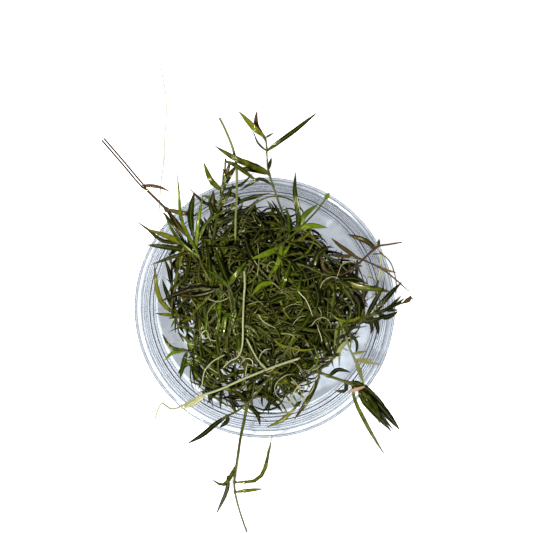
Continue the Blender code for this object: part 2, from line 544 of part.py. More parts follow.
def grow_leaf(heap, plant, rng, owner, place, turn):
    base, ahead = plant.line.at(place), plant.line.heading(place)
    level = ahead.cross(Vector((0, 0, 1))).normalized()
    length, wide = rng.uniform(*LEAF_LENGTHS), rng.uniform(*LEAF_WIDTHS)
    lean = math.radians(rng.uniform(38, 68))
    bend = rng.uniform(-0.16, 0.22)
    for attempt in range(11):
        swing = 0.32 * attempt * (-1) ** attempt
        outward = Matrix.Rotation(turn + swing, 3, ahead) @ level
        start = ahead * math.cos(lean) + outward * math.sin(lean)
        middle = base + start * length * 0.5
        tip = base + (start + (outward - ahead) * bend).normalized() * length
        line = Line([base, middle, tip], fineness=6)
        if in_heap(line.points[2:], margin=4.0):
            if add_if_free(heap, plant, place, line, wide, owner):
                return


def lay_heap():
    """All plants, from the ones on top to the ones below, which grow in the room left to them."""
    rng = np.random.default_rng(SEED)
    heap = Heap()
    plants = [lay_stem(heap, strand, owner)
              for owner, strand in enumerate(TOP_STRANDS + ROOTS + EDGE_STRANDS)]
    for owner, strand in enumerate(TOP_STRANDS):
        for leaf in strand.leaves:
            lay_leaf(heap, plants[owner], leaf, owner)
    for number in range(HIDDEN_STRANDS):
        line = hidden_stem(heap, rng, len(plants))
        tone = ("grass_dark", "grass_olive", "grass_fresh", "grass_dark")[number % 4]
        plants.append(Plant(f"strand_{number + 1:02d}", tone, HIDDEN_RADIUS, line))
    for owner in range(len(TOP_STRANDS + ROOTS), len(plants)):
        grow_whorls(heap, plants[owner], rng, owner)
    return plants


def frame_at(line, distance, up, scale):
    """The matrix of a cross-section there: its own Z looks along the line."""
    ahead = line.heading(distance)
    side = ahead.cross(up).normalized()
    up = side.cross(ahead)
    turned = Matrix((side, up, ahead)).transposed().to_4x4()
    return Matrix.Translation(line.at(distance)) @ turned @ Matrix.Diagonal((scale, scale, 1, 1)), up


def stem_stations(plant):
    """Distances of the stem's rings. Two close rings stand at each place where leaves grow."""
    length = plant.line.length
    nodes = []
    for place in sorted(min(max(p, 1.2), length - 1.2) for p, _, _ in plant.leaves):
        if not nodes or place - nodes[-1] > 3 * NODE_HALF:
            nodes.append(place)
    rings = sorted(r for n in nodes for r in (n - NODE_HALF, n + NODE_HALF))
    for gap_start, gap_end in zip([0, *rings], [*rings, length]):
        if gap_end - gap_start > 2 * NODE_HALF + 0.01:
            rings += even_rings(plant.line, gap_start, gap_end)
    return sorted([0, *rings, length]), nodes


def even_rings(line, start, end):
    """Rings between two distances, closer together where the line turns."""
    first, last = np.interp((start, end), line.distances, line.effort)
    shares = np.linspace(first, last, int(last - first) + 2)[1:-1]
    return list(np.interp(shares, line.effort, line.distances))


def extruded(bm, face):
    return bmesh.ops.extrude_discrete_faces(bm, faces=[face])["faces"][0]


def build_stem(bm, plant, stations):
    """A four-sided tube along the stem. Returns its start, its end and the sides of each stretch."""
    frame, up = frame_at(plant.line, stations[0], Vector((0.13, 0.07, 1)), plant.radius)
    bmesh.ops.create_cone(bm, cap_ends=True, segments=STEM_SIDES, radius1=1, radius2=1, depth=1,
                          matrix=frame @ Matrix.Translation((0, 0, 0.5)))
    bm.normal_update()
    ahead = frame.col[2].to_3d()
    start, end = (pick(bm.faces, key=lambda f: f.normal.dot(ahead)) for pick in (min, max))
    sides = []
    for i, distance in enumerate(stations[1:]):
        taper = 1 - 0.35 * (distance / plant.line.length) ** 3
        after, up = frame_at(plant.line, distance, up, plant.radius * taper)
        if i:
            end = extruded(bm, end)
        back = frame.inverted()
        for vert in end.verts:
            flat = back @ vert.co
            vert.co = after @ Vector((flat.x, flat.y, 0))
        sides.append([f for e in end.edges for f in e.link_faces if f != end])
        frame = after
    return start, end, sides


def level_across(line, share):
    """The level direction across a leaf there, or None where the leaf stands almost upright."""
    level = line.heading(share * line.length).cross(Vector((0, 0, 1)))
    return level.normalized() if level.length > UPRIGHT else None


def build_leaf(bm, face, along, line, wide):
    """Extrudes a leaf from a face of the stem: it turns its flat side up, and ends in a point.

    Its width starts from the pair of the face's sides that asks for the smaller turn.
    """
    face.normal_update()
    across = along.cross(face.normal).normalized()
    level = level_across(line, FIRST_RING)
    if level and abs(level.dot(along)) > abs(level.dot(across)):
        along, across = across, -along
    centre = face.calc_center_median()
    corners = [(math.copysign(1, (v.co - centre).dot(along)),
                math.copysign(1, (v.co - centre).dot(across))) for v in face.verts]
    rings = max(1, round(line.length / LEAF_RING_STEP))
    for share in np.linspace(FIRST_RING, LAST_RING, rings):
        ahead = line.heading(share * line.length)
        side = level_across(line, share) or across
        if side.dot(across) < 0:
            side = -side
        side = (side - ahead * side.dot(ahead)).normalized()
        up = ahead.cross(side)
        half_wide = 0.5 * wide * float(np.interp(share, SHAPE_PLACES, SHAPE_WIDTHS))
        middle = line.at(share * line.length)
        face = extruded(bm, face)
        for vert, (u, v) in zip(face.verts, corners):
            vert.co = middle + side * (v * half_wide) + up * (u * LEAF_THICK / 2)
    bmesh.ops.pointmerge(bm, verts=list(extruded(bm, face).verts), merge_co=line.at(line.length))


def plant_mesh(plant):
    """The strand as one closed mesh: the stem, then each leaf from the freest side at its place."""
    bm = bmesh.new()
    stations, nodes = stem_stations(plant)
    start, end, sides = build_stem(bm, plant, stations)
    free = {stations.index(n - NODE_HALF): None for n in nodes}
    for stretch in free:
        free[stretch] = list(sides[stretch])
    if nodes and nodes[0] < 2:
        free[1].append(start)
    if nodes and nodes[-1] > plant.line.length - 2:
        free[len(stations) - 3].append(end)
    for place, line, wide in plant.leaves:
        node = min(nodes, key=lambda n: abs(n - place))
        faces = free[stations.index(node - NODE_HALF)]
        outward = (line.at(0.3 * line.length) - line.at(0)).normalized()
        for face in faces:
            face.normal_update()
        face = max(faces, key=lambda f: f.normal.dot(outward))
        faces.remove(face)
        along = plant.line.heading(node)
        if face in (start, end):
            along = face.normal.orthogonal().normalized()
        build_leaf(bm, face, along, line, wide)
    bmesh.ops.triangulate(bm, faces=bm.faces, quad_method="SHORT_EDGE")
    bmesh.ops.scale(bm, verts=bm.verts, vec=(MM, MM, MM))
    mesh = bpy.data.meshes.new(plant.name)
    bm.to_mesh(mesh)
    bm.free()
    return mesh


def material(name):
    made = bpy.data.materials.new(name)
    made.use_nodes = True
    shader = made.node_tree.nodes["Principled BSDF"]
    shader.inputs["Base Color"].default_value = (*COLOURS[name], 1)
    shader.inputs["Metallic"].default_value = 0
    shader.inputs["Roughness"].default_value = 0.3
    if name == "cup_plastic":
        shader.inputs["Roughness"].default_value = 0.12
        shader.inputs["Transmission Weight"].default_value = 0.9
        shader.inputs["IOR"].default_value = 1.49
    return made


def add_object(name, mesh, finish, collection):
    obj = bpy.data.objects.new(name, mesh)
    mesh.materials.append(finish)
    collection.objects.link(obj)
    return obj


def add_cup(finish, collection):
    """The cup, turned from its half section: up the inside, over the rim and down the outside."""
    section = [(0, FLOOR_TOP), *inner_profile(), *outer_profile(), (0, 0)]
    bm = bmesh.new()
    verts = [bm.verts.new((r * MM, 0, z * MM)) for r, z in section]
    for a, b in zip(verts, verts[1:]):
        bm.edges.new((a, b))
    mesh = bpy.data.meshes.new("cup")
    bm.to_mesh(mesh)
    bm.free()
    cup = add_object("cup", mesh, finish, collection)
    turn = cup.modifiers.new("turn", "SCREW")
    turn.steps = turn.render_steps = CUP_STEPS
    turn.use_merge_vertices = True
    turn.merge_threshold = 0.00005
    turn.use_smooth_shade = True
    return cup


def main():
    for obj in list(bpy.data.objects):
        bpy.data.objects.remove(obj)
    collection = bpy.data.collections.new("cup_of_guppy_grass")
    bpy.context.scene.collection.children.link(collection)
    finishes = {name: material(name) for name in COLOURS}
    add_cup(finishes["cup_plastic"], collection)
    for plant in lay_heap():
        add_object(plant.name, plant_mesh(plant), finishes[plant.tone], collection)


main()
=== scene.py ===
"""Dresses the cup of guppy grass: every strand gets fine stems, folded leaves and side shoots, and
the cup gets its moulded steps, its clear plastic and its water drops.

Sizes in the tables are millimetres, and the meshes are metres, with +Z up. The strands lie where
the solids have them: the same points and the same seed place them here.
"""

import math
from functools import cache, partial
from typing import NamedTuple

import bmesh
import bpy
import numpy as np
from mathutils import Matrix, Vector


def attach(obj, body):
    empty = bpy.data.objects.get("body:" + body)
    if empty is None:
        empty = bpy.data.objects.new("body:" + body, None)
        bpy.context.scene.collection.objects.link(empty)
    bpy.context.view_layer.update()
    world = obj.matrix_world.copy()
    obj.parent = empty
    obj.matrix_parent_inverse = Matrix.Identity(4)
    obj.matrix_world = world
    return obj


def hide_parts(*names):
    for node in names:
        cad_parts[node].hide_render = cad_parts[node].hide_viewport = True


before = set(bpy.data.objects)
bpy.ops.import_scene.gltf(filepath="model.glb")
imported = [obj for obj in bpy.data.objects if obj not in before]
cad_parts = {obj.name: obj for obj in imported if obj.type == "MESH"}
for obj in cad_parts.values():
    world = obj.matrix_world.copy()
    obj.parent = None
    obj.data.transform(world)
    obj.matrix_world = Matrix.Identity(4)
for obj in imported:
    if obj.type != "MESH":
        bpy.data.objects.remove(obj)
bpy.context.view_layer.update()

MM = 0.001
UP = Vector((0, 0, 1))

# The cup, from its axis outwards
RIM_RADIUS = 58.5
RIM_TOP = 45.0
MOUTH_RADIUS = 55.4
MOUTH_FLARE = 1.1
SHOULDER_HEIGHT = 36.0
SHOULDER_STEP = 0.9
FLOOR_RADIUS = 49.5
CORNER_RADIUS = 2.4
FLOOR_TOP = 1.0

# Room between pieces, and how finely a piece is watched for it
GAP = 0.35
BEAD_SPACING = 1.0
FACET_SAG = 0.25
OWN_REACH = 3.0

# Leaves and stems
STEM_STEP = 14.0
STEM_TURN = 27.0
SHAPE_PLACES = (0.0, 0.3, 0.6, 0.82, 1.0)
SHAPE_WIDTHS = (0.55, 1.0, 0.88, 0.55, 0.16)
LEAF_LIFTS = (0, 0.8, -0.8, 1.6, -1.6, 2.6, -2.6, 3.8, -3.8, 5.2, -5.2, 7.0, -7.0, 9.0)
STEM_LIFTS = (0, 0.8, -0.8, 1.6, -1.6, 2.4, 3.2, -2.4, 4.2, 5.4, 6.6)

# The strands that fill the heap from below
SEED = 42
HIDDEN_STRANDS = 17
HIDDEN_TONES = ("grass_dark", "grass_olive", "grass_fresh", "grass_dark")
HIDDEN_LENGTHS = (44.0, 80.0)
HIDDEN_RADIUS = 0.5
STEM_TRIES = 900
LEAF_TRIES = 11
# The heap's crown is highest over the cup's axis, and lower by the fall at the crown's radius
HEAP_TOP = 57.0
HEAP_FALL = 7.0
CROWN_RADIUS = 45
WHORL_STEP = 10.5
WHORL_LEAVES = 2
LEAF_LENGTHS = (11.0, 17.0)
LEAF_WIDTHS = (1.5, 2.1)
# How far the heap reaches from the cup's axis, at each bearing in degrees from +X
HEAP_BEARINGS = (0, 20, 45, 62, 90, 112, 135, 160, 180, 205, 225, 250, 270, 290, 310, 330, 345, 360)
HEAP_REACHES = (48, 48, 37, 38, 45, 48, 47, 42, 41, 41, 44, 47, 48, 45, 36, 39, 43, 48)

# The heap is drawn as it looks from straight above, at the rim's height, from this place
EYE = (0.8, 18.5, 645.0)


class Strand(NamedTuple):
    """A strand: its stem's radius and points, seen from above with a height, and its leaves.

    A leaf is the share of the stem where it grows, its width, and the points that it passes.
    """

    name: str
    tone: str
    radius: float
    stem: list
    leaves: list = []


TOP_STRANDS = [
    Strand("cut_stem_back_left", "grass_brown", 0.62, [
        (-12, 8, 50), (-25, 20, 49.5), (-35, 33, 49), (-42.5, 42.5, 48.4), (-54.5, 54.5, 48.6),
        (-63, 64.5, 48), (-72.5, 75.5, 47)], [
        (0.7, 1.6, (-47.5, 54.3, 49.8), (-41, 51.5, 49)),
        (0.53, 1.8, (-36, 42.3, 51), (-30, 41, 50)),
        (0.53, 1.6, (-39, 37, 50.5), (-34, 31, 51))]),
    Strand("left_spray", "grass_olive", 0.5, [
        (-36, 29.5, 51), (-33, 24.5, 51.5), (-28, 18, 52.5), (-20, 11.5, 53), (-11, 4, 53)], [
        (0.03, 1.8, (-46, 30, 51.5), (-52, 34.8, 51), (-58.5, 39.5, 49)),
        (0.03, 2.3, (-44, 32.3, 53), (-53.2, 35.6, 53.5)),
        (0.13, 2.1, (-43, 27, 48.5), (-53.5, 28.3, 47.6)),
        (0.03, 1.4, (-40, 36, 53), (-46, 43, 52)),
        (0.3, 1.3, (-37, 22.6, 50), (-43.5, 22.4, 48))]),
    Strand("bright_left", "grass_fresh", 0.55, [
        (-16, -14, 50), (-18, -4, 51), (-21, 6, 52), (-26, 15, 52.5), (-29.5, 23, 53.5), (-32.3, 33, 54)], [
        (0.99, 2.4, (-33.2, 42, 54), (-31.5, 52.5, 51.5)),
        (0.88, 1.5, (-29.6, 40, 57.5), (-27.5, 51, 58)),
        (0.8, 1.3, (-34, 32, 56.5), (-37.6, 40, 57.5), (-38.3, 50, 58), (-39.3, 61.5, 56)),
        (0.55, 1.9, (-25, 21, 54.5), (-26, 29, 55)),
        (0.3, 1.8, (-25, -2, 52), (-30, -8, 50))]),
    Strand("back_left_column", "grass_dark", 0.6, [
        (-24, 24, 50), (-22.5, 34, 51), (-20.5, 44, 51), (-19, 52, 51.5), (-18, 60, 52.5), (-17.5, 67, 53)], [
        (0.66, 2.0, (-24, 57, 54), (-27.5, 65.5, 54)),
        (0.7, 2.0, (-16, 59, 54.8), (-12.6, 64, 55)),
        (0.52, 1.5, (-25, 49.5, 50), (-28.3, 50.3, 49)),
        (0.42, 2.2, (-23.3, 46, 53.5), (-23, 53, 54)),
        (0.6, 1.7, (-15, 51, 52.5), (-9.5, 47, 51)),
        (0.25, 1.9, (-27, 37, 49), (-31, 43, 47.8)),
        (0.97, 1.7, (-13, 63.8, 56), (-8, 60.2, 56.5), (-2.5, 56, 56))]),
    Strand("back_spray", "grass_olive", 0.45, [
        (10, 33, 48), (8, 42, 49.5), (5, 51, 51), (2, 60, 52.5), (1.2, 65, 53.5), (0.9, 70, 54),
        (0.7, 74, 54.5), (-0.5, 77.3, 55)], [
        (0.62, 2.4, (-3, 62.8, 55), (-13, 66.8, 57.5), (-23, 73, 56)),
        (0.62, 2.3, (-5, 62, 52.8), (-13, 62.2, 51.5)),
        (0.5, 1.3, (-2, 57.8, 50), (-7, 55, 49), (-12, 52, 48.8)),
        (0.66, 1.3, (3.2, 67.5, 55.5)),
        (0.84, 1.9, (6, 74, 55.5), (13, 79, 56), (24.3, 88, 54)),
        (0.84, 1.1, (-3, 73.5, 53.5), (-5, 78, 53.2), (-7.5, 82, 52.6)),
        (0.99, 2.3, (-5, 81, 56.5), (-12.2, 88.7, 55)),
        (0.97, 2.0, (-3.3, 80.5, 54.2), (-4, 84, 54), (-3.3, 89, 53)),
        (0.97, 0.9, (4.5, 78.6, 54))]),
    Strand("pale_stem_back", "grass_pale", 0.6, [
        (-20.2, 85, 44), (-17.3, 79, 48.5), (-14, 70.5, 52.5), (-12.6, 62, 56), (-12.5, 50, 58),
        (-13, 40, 58.5), (-13.2, 31, 58)]),
    Strand("bright_tip_back_right", "grass_fresh", 0.5, [
        (-2, 20, 55), (6, 27, 54.5), (14, 34, 53.5), (20, 40, 52), (24, 44.3, 51), (27.6, 49.3, 50)], [
        (0.52, 2.0, (15, 42, 55.5), (13.5, 52, 57), (13.8, 61, 55.5)),
        (0.55, 2.1, (20, 36.8, 54), (28, 36, 52)),
        (0.58, 2.1, (17.5, 41, 54.5), (24, 46.5, 54)),
        (0.4, 1.7, (10.7, 39, 54.5), (9.5, 45.5, 55)),
        (0.98, 1.8, (29, 51.5, 50)),
        (0.25, 2.2, (0, 24, 57.5), (-6, 22, 58)),
        (0.3, 1.9, (6, 20, 57), (1, 13, 57))]),
    Strand("right_stem", "grass_brown", 0.55, [
        (22, 8, 51), (28, 11, 51.5), (34, 14, 52), (41, 19, 51.5), (50, 27, 50), (55, 28.3, 49.5),
        (61.5, 29.3, 48)], [
        (0.73, 2.0, (45, 30, 51.8), (37, 33, 51)),
        (0.7, 1.1, (46.6, 29.6, 53.2)),
        (0.76, 1.2, (51.3, 31, 51.5)),
        (0.3, 1.6, (27, 17, 53.5), (25, 25, 54))]),
    Strand("right_branch", "grass_dark", 0.6, [
        (24, -14, 50), (30, -10, 50.5), (38, -7.5, 50.5), (46, -4, 50), (52, -1.8, 49.5), (58, 1, 48.6),
        (65, 3, 46)], [
        (0.58, 2.1, (56, 6, 51.5), (61.5, 11.8, 51)),
        (0.52, 1.9, (50, 4, 53), (53.5, 9.5, 54)),
        (0.56, 1.8, (50, -7, 48.8), (51, -12.3, 47.5)),
        (0.64, 2.0, (54.5, -4.2, 49.4), (59.8, -1.6, 49)),
        (0.5, 2.0, (43, 1.5, 51.5), (40, 8, 52)),
        (0.72, 1.4, (59.6, -1, 48.4)),
        (0.76, 1.1, (61.3, 5.4, 49.5)),
        (0.44, 2.0, (42, 2.5, 52.5), (37, 7, 53)),
        (0.47, 1.4, (47, -7.2, 48.4)),
        (0.97, 1.9, (65.8, 6, 46.5)),
        (0.3, 1.9, (35, -2, 52), (32, 5, 53))]),
    Strand("right_brown_stem", "grass_brown", 0.4, [
        (38, 24, 50), (44, 21.5, 50.5), (51, 18.3, 50), (55.5, 15.3, 49.5), (60, 11.5, 48.7),
        (64.8, 7.2, 47.5)], [
        (0.45, 1.1, (55, 16.8, 51.5), (59.2, 15.8, 51.5)),
        (0.1, 1.7, (34, 27.5, 51), (29.5, 31.5, 51)),
        (0.05, 1.5, (33, 23, 52), (26, 24, 53))]),
    Strand("dark_leaves_right", "grass_dark", 0.55, [
        (14, 20, 54), (20, 18, 54.5), (27, 15, 54.5), (34, 12.5, 54.5)], [
        (0.99, 2.4, (42, 9.5, 55), (50, 8.5, 54.5), (57, 7, 53)),
        (0.96, 2.0, (40, 13.2, 56), (46, 10.8, 56)),
        (0.95, 1.9, (39, 7, 54.5), (44.5, 1, 53.5)),
        (0.6, 2.1, (24, 9, 56), (27, 1, 56)),
        (0.4, 2.0, (24, 24, 55), (30, 28, 54))]),
    Strand("front_right_bundle", "grass_dark", 0.7, [
        (14, -22, 50), (25, -29, 50.5), (33, -32, 50.5), (40, -34.5, 50), (44, -37, 49.6)], [
        (0.99, 3.3, (51, -43.2, 47), (60.8, -55, 37)),
        (0.93, 2.4, (43.6, -40.6, 47.6), (48.6, -46.4, 42), (57.3, -55.8, 32)),
        (0.9, 1.9, (43.5, -38, 52), (48, -42, 51.5), (52.5, -51, 46)),
        (0.78, 2.1, (41, -33.5, 49.8), (47, -37, 50), (53, -43.2, 49.4)),
        (0.74, 1.8, (36, -37, 50), (31, -37, 49.6)),
        (0.84, 1.8, (40.3, -41, 48), (44, -49, 43), (49.5, -59, 34), (55, -67.5, 25)),
        (0.5, 2.0, (33, -27.5, 52), (39, -29, 52))]),
    Strand("front_right_shoot", "grass_pale", 0.5, [
        (33, -4, 50.5), (36, -12, 51), (38, -18, 51.5), (41, -24.5, 51.8)], [
        (0.99, 2.0, (43, -30.5, 54), (44.8, -35.6, 55.5)),
        (0.96, 1.0, (47, -24.7, 52), (53, -25.2, 50.5)),
        (0.94, 1.3, (48.7, -23.2, 53.5)),
        (0.8, 1.1, (45.6, -19.4, 53)),
        (0.52, 1.8, (34, -18, 53), (30.5, -23.5, 53))]),
    Strand("front_inner_leaf", "grass_olive", 0.5, [
        (17, -12, 52), (20, -18, 52), (23, -25, 51.5), (24.5, -31, 50.8)], [
        (0.99, 1.9, (20, -40, 49), (16, -46, 48), (13, -50.3, 46.8)),
        (0.4, 1.8, (15, -19, 54), (12, -14, 55)),
        (0.65, 1.8, (29, -22, 53), (34, -21, 53))]),
    Strand("front_sprig", "grass_olive", 0.45, [
        (4, -28, 50.5), (6, -34, 50), (10, -40, 49.5), (14, -45, 48.5)], [
        (0.98, 1.6, (8, -50, 48), (0.5, -53.6, 47)),
        (0.96, 1.3, (16.5, -41.5, 50)),
        (0.6, 1.7, (3, -42, 50), (-1, -47, 49)),
        (0.3, 1.7, (11, -33, 51.5), (16, -37, 51.5))]),
    Strand("front_trailer", "grass_olive", 0.7, [
        (-6, -32, 50.3), (-7.5, -40, 49.8), (-8.5, -47, 49.2), (-10.8, -58, 47.9), (-12, -66, 43.5),
        (-13.2, -74, 36), (-13.5, -81, 27.5), (-11.5, -90, 15), (-8, -100.5, 1.6)], [
        (0.52, 1.7, (-16.2, -75, 35.5), (-17, -82, 28), (-22, -93, 14)),
        (0.57, 1.6, (-5, -77.6, 32), (-0.5, -73.5, 37), (1.6, -65, 44), (3.5, -56.5, 48)),
        (0.65, 1.5, (-10, -82, 27), (0, -81, 25.5)),
        (0.12, 1.9, (-3.5, -47.5, 50.5), (-2, -53, 50))]),
    Strand("front_left_shoot", "grass_olive", 0.5, [
        (-1, -35, 51.5), (-6, -41, 51), (-12, -46, 50), (-17, -48.5, 49.3)], [
        (0.99, 2.0, (-22, -52, 48.2), (-28, -57, 43), (-35, -61, 36.5)),
        (0.96, 1.6, (-17, -51, 48.8), (-20.5, -53.8, 48)),
        (0.8, 1.9, (-15, -42, 51.5), (-21, -40, 51.5)),
        (0.5, 1.8, (-11, -39, 52.5), (-16, -36, 53))]),
    Strand("pale_runner", "root_pale", 0.55, [
        (16, -22.5, 55), (8, -25, 56), (0, -28, 56), (-10, -32, 55.5), (-20, -36.5, 53.5), (-30, -40, 51),
        (-37, -44, 48.7), (-41.5, -45.3, 46.5), (-44, -44, 44), (-46, -42.7, 41.5), (-47.8, -45.5, 37),
        (-49, -49.5, 31)]),
    Strand("left_column", "grass_dark", 0.6, [
        (-32, -11, 38), (-38, -5, 37), (-41.5, 4, 37), (-41.5, 12, 38), (-41.7, 19, 39.5),
        (-42.5, 24.5, 40)], [
        (0.98, 1.8, (-38, 27.5, 41), (-34, 26.5, 42)),
        (0.62, 1.6, (-43, 17, 40.5), (-45, 22, 41)),
        (0.3, 1.8, (-44, 7, 39), (-46, 13, 39.5))]),
    Strand("left_column_inner", "grass_olive", 0.5, [
        (-36, 26, 46), (-39, 18, 45), (-38.3, 10, 44), (-37.5, 2, 43), (-33, -5, 44)], [
        (0.27, 1.6, (-35, 17.8, 46.5), (-29.5, 17, 47.5)),
        (0.5, 1.8, (-36, 13, 46), (-38, 15, 47)),
        (0.8, 1.8, (-39, -3, 44), (-43, -5, 44))]),
    Strand("left_leaf", "grass_olive", 0.45, [
        (-26, -6, 47), (-32, -4.5, 47), (-39, -3, 46.5)], [
        (0.98, 1.8, (-44.5, 0.5, 46), (-48, 7, 45.5), (-49.5, 20, 46.5)),
        (0.9, 1.4, (-44, -3, 45.5), (-49.3, -2.4, 44)),
        (0.5, 1.9, (-38, -7, 47.5), (-36, -12, 47))]),
    Strand("left_cross", "grass_fresh", 0.45, [
        (-22, -22, 45), (-29, -20.5, 44), (-36, -19, 42.5)], [
        (0.98, 1.5, (-42, -17.6, 42.5), (-46, -11.5, 43)),
        (0.95, 1.5, (-41, -20, 41), (-45, -23.5, 40)),
        (0.9, 2.0, (-36.3, -25, 40), (-38, -32, 38)),
        (0.5, 2.1, (-31, -26, 43), (-30, -33, 41))]),
    Strand("left_wide_leaf", "grass_dark", 0.55, [
        (-8, 3, 56), (-13, 5.5, 56.5), (-19, 7, 56.5)], [
        (0.98, 2.6, (-28, 8.6, 56), (-37, 7, 54.5), (-46.5, 3, 52.5)),
        (0.45, 1.9, (-14, -1, 54), (-21, -5.5, 53))]),
    Strand("centre_fan", "grass_fresh", 0.55, [
        (-10, -20, 54.5), (-12, -12, 56), (-14, -3, 57.5), (-15.5, 4, 58.5), (-16.5, 11, 59.5)], [
        (0.99, 2.3, (-19.5, 19, 61), (-22.5, 27, 60)),
        (0.97, 2.3, (-12, 16, 61), (-8, 21, 60.5)),
        (0.95, 1.8, (-21, 14, 60.5), (-26, 17, 59.5)),
        (0.8, 1.9, (-11, 9, 60.5), (-10.5, 14, 61.5)),
        (0.55, 2.2, (-17.5, -4, 58.5), (-18.5, -13, 57.5)),
        (0.35, 2.1, (-11.5, -17, 58.5), (-13, -25, 57.5)),
        (0.4, 1.9, (-6, -9, 58), (-2, -14, 58))]),
    Strand("centre_green", "grass_fresh", 0.5, [
        (26, -4, 54), (19, 0, 55.5), (11, 5, 57), (4, 11, 57.5), (-3, 18, 57)], [
        (0.3, 2.2, (15, 8, 59), (17, 16, 59)),
        (0.5, 2.1, (5, 4, 59), (-1, 0, 58.5)),
        (0.6, 2.1, (9, 13, 59.5), (12, 21, 59)),
        (0.75, 2.1, (-2, 10, 59.5), (-6, 5, 59)),
        (0.97, 2.1, (-7, 25, 58), (-9, 33, 57.5)),
        (0.12, 2.0, (24, 4, 56), (22, 12, 57)),
        (0.15, 2.0, (18, -7, 57), (13, -12, 57))]),
]

# Strands at the heap's edge and low in it. Their leaves grow as the hidden ones' do
EDGE_STRANDS = [
    Strand("back_cross", "grass_dark", 0.5, [
        (-31, 27, 46), (-22, 34, 47), (-10, 38.5, 47.5), (2, 38.5, 47.5), (12, 35, 47)]),
    Strand("back_low", "grass_olive", 0.5, [
        (-27, 33, 38), (-16, 40, 40), (-4, 42.5, 41), (7, 40, 41), (17, 33, 40)]),
    Strand("front_cross", "grass_dark", 0.5, [
        (-31, -25, 44), (-22, -34, 45), (-10, -39, 45.5), (4, -39.5, 45.5), (15, -34, 45)]),
    Strand("front_left_cross", "grass_olive", 0.5, [
        (-35, -8, 40), (-33, -20, 41.5), (-25, -31, 42), (-14, -38, 42)]),
    Strand("right_cross", "grass_fresh", 0.5, [
        (31, -22, 43), (37, -12, 44), (41, -2, 45), (42, 9, 45.5), (38, 19, 46)]),
    Strand("left_back_cross", "grass_olive", 0.5, [
        (-37, 6, 43), (-35, 17, 44), (-29, 27, 45), (-20, 35, 45.5)]),
]

ROOTS = [
    Strand("back_left_root", "root_pale", 0.25, [
        (-34, 27, 48.5), (-41, 31.5, 47.5), (-46.2, 34.5, 46.3), (-48.3, 37.3, 44), (-48.5, 38.6, 25),
        (-48, 41, 6), (-47.2, 45.5, 1.2), (-46.8, 52, 0.6), (-46.3, 58, 0.6), (-45.2, 66, 0.6),
        (-44.9, 75, 0.6), (-44.2, 85, 0.6), (-44.2, 93, 0.6), (-44.9, 99, 0.6), (-46, 104.5, 0.6),
        (-46.9, 110, 0.6), (-49, 115.5, 0.6), (-51.7, 118, 0.6), (-53.5, 121, 0.6), (-53.6, 123.3, 0.6)]),
    Strand("right_root", "root_pale", 0.45, [
        (52.2, 26.2, 47.2), (52, 21.5, 47.3), (51.3, 15, 46.2), (50.2, 8, 44), (49.6, 3, 42)]),
    Strand("right_root_thin", "root_pale", 0.3, [
        (52.9, 16.6, 46.3), (53.2, 12, 44.8), (52.6, 7.5, 42), (51, 3.5, 38)]),
    Strand("rim_root", "grass_brown", 0.28, [
        (48.5, 24, 47), (52.4, 24, 46.3), (56.3, 20.3, 46.1), (58.2, 15, 46), (58.9, 10.5, 46),
        (58.7, 6.5, 45.9)]),
    Strand("centre_root", "root_pale", 0.42, [
        (-9.2, 16.5, 62.5), (-8.9, 10, 62.5), (-9.3, 5, 62), (-9.7, -5, 61.5), (-9.8, -14, 60.5),
        (-10.5, -19, 60), (-12.3, -22.3, 59.5), (-15.5, -23.8, 58.5), (-18.6, -26.8, 57)]),
    Strand("centre_root_diagonal", "root_pale", 0.42, [
        (-8, -14, 59.5), (-5, -20, 59), (-2.5, -24, 58.5), (1, -27.5, 58.3)]),
    Strand("front_left_root", "root_pale", 0.3, [
        (-18, -21, 55), (-23.5, -24.2, 54.5), (-27, -28.6, 53), (-28, -34, 51), (-29, -38, 49)]),
    Strand("front_curl_root", "root_pale", 0.33, [
        (19, -33, 52.5), (15.5, -34.6, 52.3), (13, -38, 51.5), (12, -41, 50.5), (11, -43.6, 49)]),
]


class Line:
    """The smooth curve through some points, with places on it found by distance."""

    def __init__(self, points, fineness=10):
        p = np.array(points, float)
        p = np.vstack([2 * p[0] - p[1], p, 2 * p[-1] - p[-2]])
        t = np.linspace(0, 1, fineness, endpoint=False)[:, None]
        runs = [0.5 * (2 * b + (c - a) * t + (2 * a - 5 * b + 4 * c - d) * t**2
                       + (3 * b - a - 3 * c + d) * t**3)
                for a, b, c, d in zip(p, p[1:], p[2:], p[3:])]
        self.points = np.vstack([*runs, p[-2:-1]])
        steps = np.linalg.norm(np.diff(self.points, axis=0), axis=1)
        self.distances = np.concatenate([[0], np.cumsum(steps)])
        self.length = self.distances[-1]
        ahead = np.diff(self.points, axis=0) / steps[:, None]
        turns = np.degrees(np.arccos(np.clip((ahead[1:] * ahead[:-1]).sum(axis=1), -1, 1)))
        self.effort = self.distances / STEM_STEP + np.concatenate([[0], np.cumsum(turns), [0]]) / STEM_TURN
        self.effort[-1] = self.effort[-2] + steps[-1] / STEM_STEP

    def at(self, distance):
        return Vector([np.interp(distance, self.distances, column) for column in self.points.T])

    def heading(self, distance):
        near = 0.02 * self.length
        return (self.at(distance + near) - self.at(distance - near)).normalized()

    def beads(self):
        places = np.linspace(0, self.length, max(2, int(self.length / BEAD_SPACING) + 1))
        return np.column_stack([np.interp(places, self.distances, c) for c in self.points.T])


